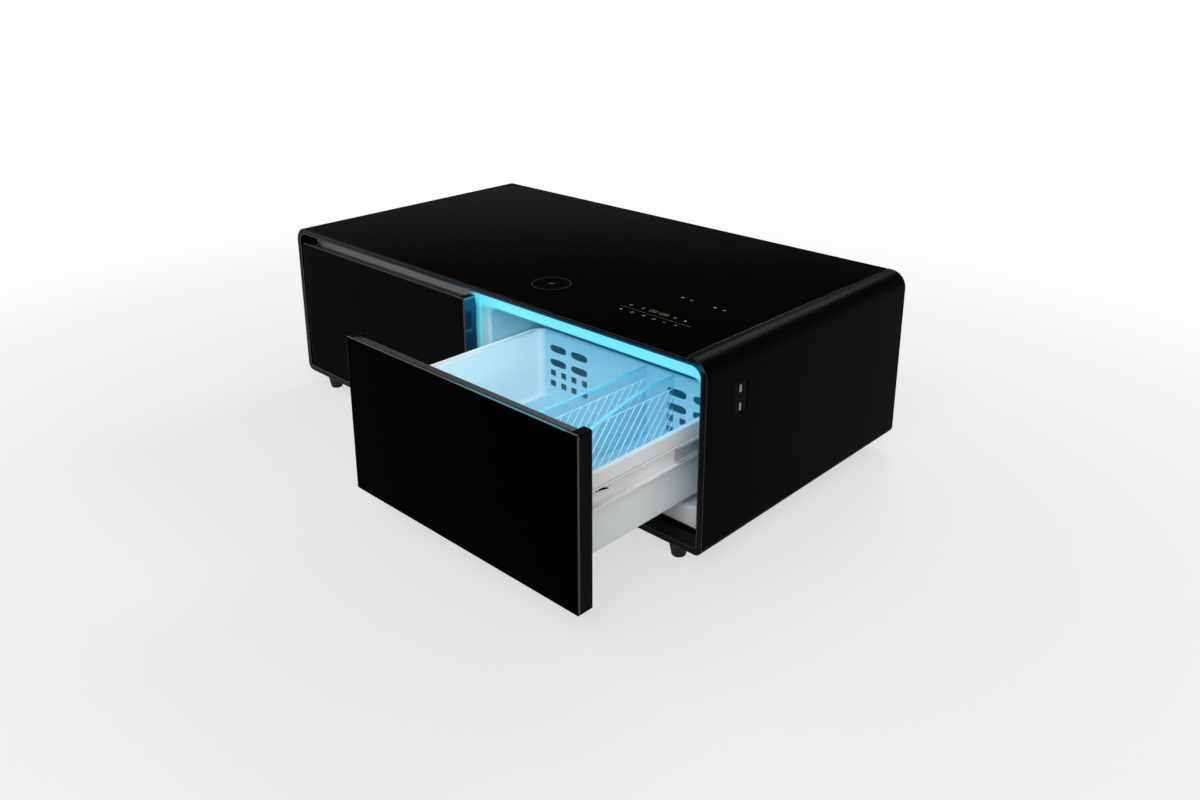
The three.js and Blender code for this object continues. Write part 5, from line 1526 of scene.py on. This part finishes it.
def buildBox(side, centre, shift):
    # from the foot's edge up the outside, over the rim and down the inside
    b, d, v = boxSizes, dividers, vents
    y0, y1, z0, z1, wall, body = b["front"], b["back"], b["bottom"], b["top"], b["wall"], b["body"]
    outerR, brim, under = b["corner"] + wall, b["rim"], z1 - b["rimHeight"]
    foot, edge, curl = b["foot"], b["edge"], b["rimRound"]
    shape = [(body - foot * a, 0.6, 0.6 + foot * a, 4, outerR - foot * a * 0.5, z0 + foot * c) for a, c in quarter(5)]
    shape += [
        (body, 0.6, 0.6, 4, outerR, z1 - wall), (brim - wall, 0.3, 0.3, 2, outerR + 1, z1 - wall),
        (brim - wall, 0.3, 0.3, 2, outerR + 1, under + 0.4), (brim - wall + 0.8, 0.2, 0.2, 2, outerR + 1, under),
        (brim - 0.8, 0.1, 0.1, 2, outerR + 1, under), (brim, 0, 0, 2, outerR + 2, under + 0.8)]
    shape += [(brim - edge * c, edge * c * 0.2, edge * c, 2, outerR + 2 - edge * c, z1 - edge * a)
              for a, c in quarter(4)]
    shape += [(b["inner"] + curl * a, wall - curl * a, wall - curl * a, 8 + curl * a, b["corner"] + curl * a,
               z1 - curl * c) for a, c in quarter(8)]
    foot -= 2
    shape += [(b["inner"] - foot * c, wall + foot * c, wall + foot * c, 8, b["corner"] - foot * c,
               z0 + wall + foot * a) for a, c in quarter(6)]
    tub = fromRings("tub", [
        lying(roundedRing(centre - half, centre + half, y0 + ahead, y1 - behind, frontR, backR, 9), z, shift)
        for half, ahead, behind, frontR, backR, z in shape])

    y = y1 - v["depth"] + shift
    wide = [(centre + x, y, z1 - drop) for x in v["columns"] for drop in v["rows"]]
    halves = [(centre + x + hand * v["splitPitch"] / 2, y, z1 - drop)
              for x in v["columns"] for drop in v["splitRows"] for hand in (-1, 1)]
    carve(tub, slotSolids(lensRing(*v["size"]), 12, wide))
    carve(tub, slotSolids(lensRing(*v["splitSize"]), 12, halves))

    # low guides that hold the dividers' ends
    guides = []
    for spot in d["places"]:
        for hand in (-1, 1):
            near = centre + spot + hand * (d["thickness"] / 2 + 0.3)
            x0, x1 = sorted((near, near + hand * d["guide"]))
            low, high = z0 + wall - 0.5, z1 - d["guideDrop"]
            guides.append((x0, x1, y0 + wall - 0.6, y0 + wall + d["guideDepth"], low, high))
            guides.append((x0, x1, y1 - wall - d["guideDepth"], y1 - wall + 0.6, low, high))
    parts = [tub, bevel(blocks("guides", guides, shift), 0.7)]
    # the right box carries painted light of the strip
    finish = "boxLit" if side == "right" else "boxWhite"
    place(joined(f"drawerTub_{side}", parts), finish, f"drawer_box_{side}", f"drawer_{side}", 30)
    for number, spot in enumerate(d["places"], 1):
        buildDivider(side, number, centre + spot, shift, d["slopeFall"] * (number - 1))


for side, sign in sideSigns:
    buildFront(side, sign * bay, drawerY[side])
    buildBox(side, sign * bay, drawerY[side])
print("stage: drawers built")

# Finishes of the solids that stay
kept = {
    "insulation": "foam", "condenser_fan_frame": "blackPlastic", "control_box": "blackPlastic",
    "rear_panel": "rearSteel", "power_inlet": "blackGloss", "charging_coil": "copper", "touch_board": "board",
}
for name, finish in kept.items():
    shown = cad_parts[name].data.materials
    shown.clear()
    shown.append(finishes[finish])
print("stage: kept solids finished")

# Floor, light and camera
floor = {
    "reach": 30, "bottom": -60, "top": -0.2, "tone": 0.5, "lift": 0.64, "near": 0.9, "far": 2.6,
    "middleX": 0.1, "middleY": -0.1,
}
lamps = {
    "keyLight": ((1.6, -3.2, 3.4), (0.1, -0.1, 0.2), (3.2, 2.4), 95),
    "rimLight": ((-0.4, 3.0, 2.7), (0.3, 0.0, 0.35), (1.6, 0.7), 78),
    "fillLight": ((-3.4, -1.6, 1.8), (0, 0, 0.2), (2.2, 2.0), 30),
}
sky = {
    "strength": 0.62,        # of the even light on the object
    "mirrored": ((0.06, 1.0), (0.19, 0.12), (0.235, 0.088), (0.265, 0.058), (0.295, 0.022), (0.36, 0.018)),
}
view = {
    "place": (1.6596, -1.3388, 1.1144), "azimuth": 43.319, "elevation": 18.056, "sensor": 36, "lens": 31.655,
    "shiftY": -0.1,
}


def seenRays(shader):
    return [shader.node("LightPath", output=kind) for kind in ("Is Camera Ray", "Is Glossy Ray", "Is Transmission Ray")]


def buildFloor():
    # pale floor that shows white away from the object, and keeps its shadow
    half = floor["reach"] / mm
    square = roundedRing(-half, half, -half, half, 1, 1, 2)
    ground = fromRings("studioFloor", [lying(square, floor[end], 0) for end in ("bottom", "top")])
    f = Finish("studioFloor")
    tone = f.noise(1.2, 2, 0.5)
    camera, glossy, through = seenRays(f)
    seen = f.math("MAXIMUM", f.math("MAXIMUM", camera, glossy), through)
    x, y = f.axis("X", (floor["middleX"], 0, 0)), f.axis("Y", (0, floor["middleY"], 0))
    away = f.step((x * x + y * y) ** 0.5, floor["near"], floor["far"])
    f.set(colour=f.blend(tone, (floor["tone"],) * 3, (floor["tone"] * 1.02,) * 3), rough=0.9, shine=0.0)
    white = f.node("Emission", None, {"Color": (1.0, 1.0, 1.0), "Strength": 1.0})
    mixed = f.node("MixShader", None, {
        0: seen * (floor["lift"] + (1 - floor["lift"]) * away), 1: Value(f, f.shader.outputs[0]), 2: white})
    f.put(f.output.inputs[0], mixed)
    ground.data.materials.append(f.material)


def buildLamps():
    for name, (spot, target, size, power) in lamps.items():
        data = bpy.data.lights.new(name, "AREA")
        data.shape = "RECTANGLE"
        data.size, data.size_y = size
        data.energy = power
        lamp = newObject(name, data)
        lamp.location = spot
        lamp.rotation_euler = (Vector(target) - Vector(spot)).to_track_quat("-Z", "Y").to_euler()


def buildSky():
    # even light, white behind the object, and in its gloss a pale horizon under a dark ceiling
    scene.world = bpy.data.worlds.new("studio")
    s = Shader(scene.world)

    def backdrop(colour, strength=1.0):
        return s.node("Background", None, {"Color": colour, "Strength": strength})
    camera, glossy, through = seenRays(s)
    height = s.node("SeparateXYZ", None, {0: s.node("TexCoord", output="Generated")}, "Z")
    ceiling = s.node("ValToRGB", {"stops": sky["mirrored"]}, {0: height})
    inGloss = s.node("MixShader", None, {0: glossy, 1: backdrop((1, 1, 1), sky["strength"]), 2: backdrop(ceiling)})
    mixed = s.node("MixShader", None, {
        0: s.math("MAXIMUM", camera, through), 1: inGloss, 2: backdrop((1, 1, 1))})
    s.node("OutputWorld", None, {0: mixed})
    scene.view_settings.view_transform = "Standard"


def buildCamera():
    data = bpy.data.cameras.new("camera")
    data.sensor_width, data.lens, data.shift_y = view["sensor"], view["lens"], view["shiftY"]
    data.clip_start, data.clip_end = 0.05, 100
    eye = newObject("camera", data)
    azimuth, elevation = math.radians(view["azimuth"]), math.radians(view["elevation"])
    flat = math.cos(elevation)
    forward = Vector((-math.sin(azimuth) * flat, math.cos(azimuth) * flat, -math.sin(elevation)))
    eye.location = Vector(view["place"]) + Vector((0, cabinetY * mm, 0))
    eye.rotation_euler = forward.to_track_quat("-Z", "Y").to_euler()
    scene.camera = eye


buildFloor()
buildLamps()
buildSky()
buildCamera()
print("stage: stage and camera set")
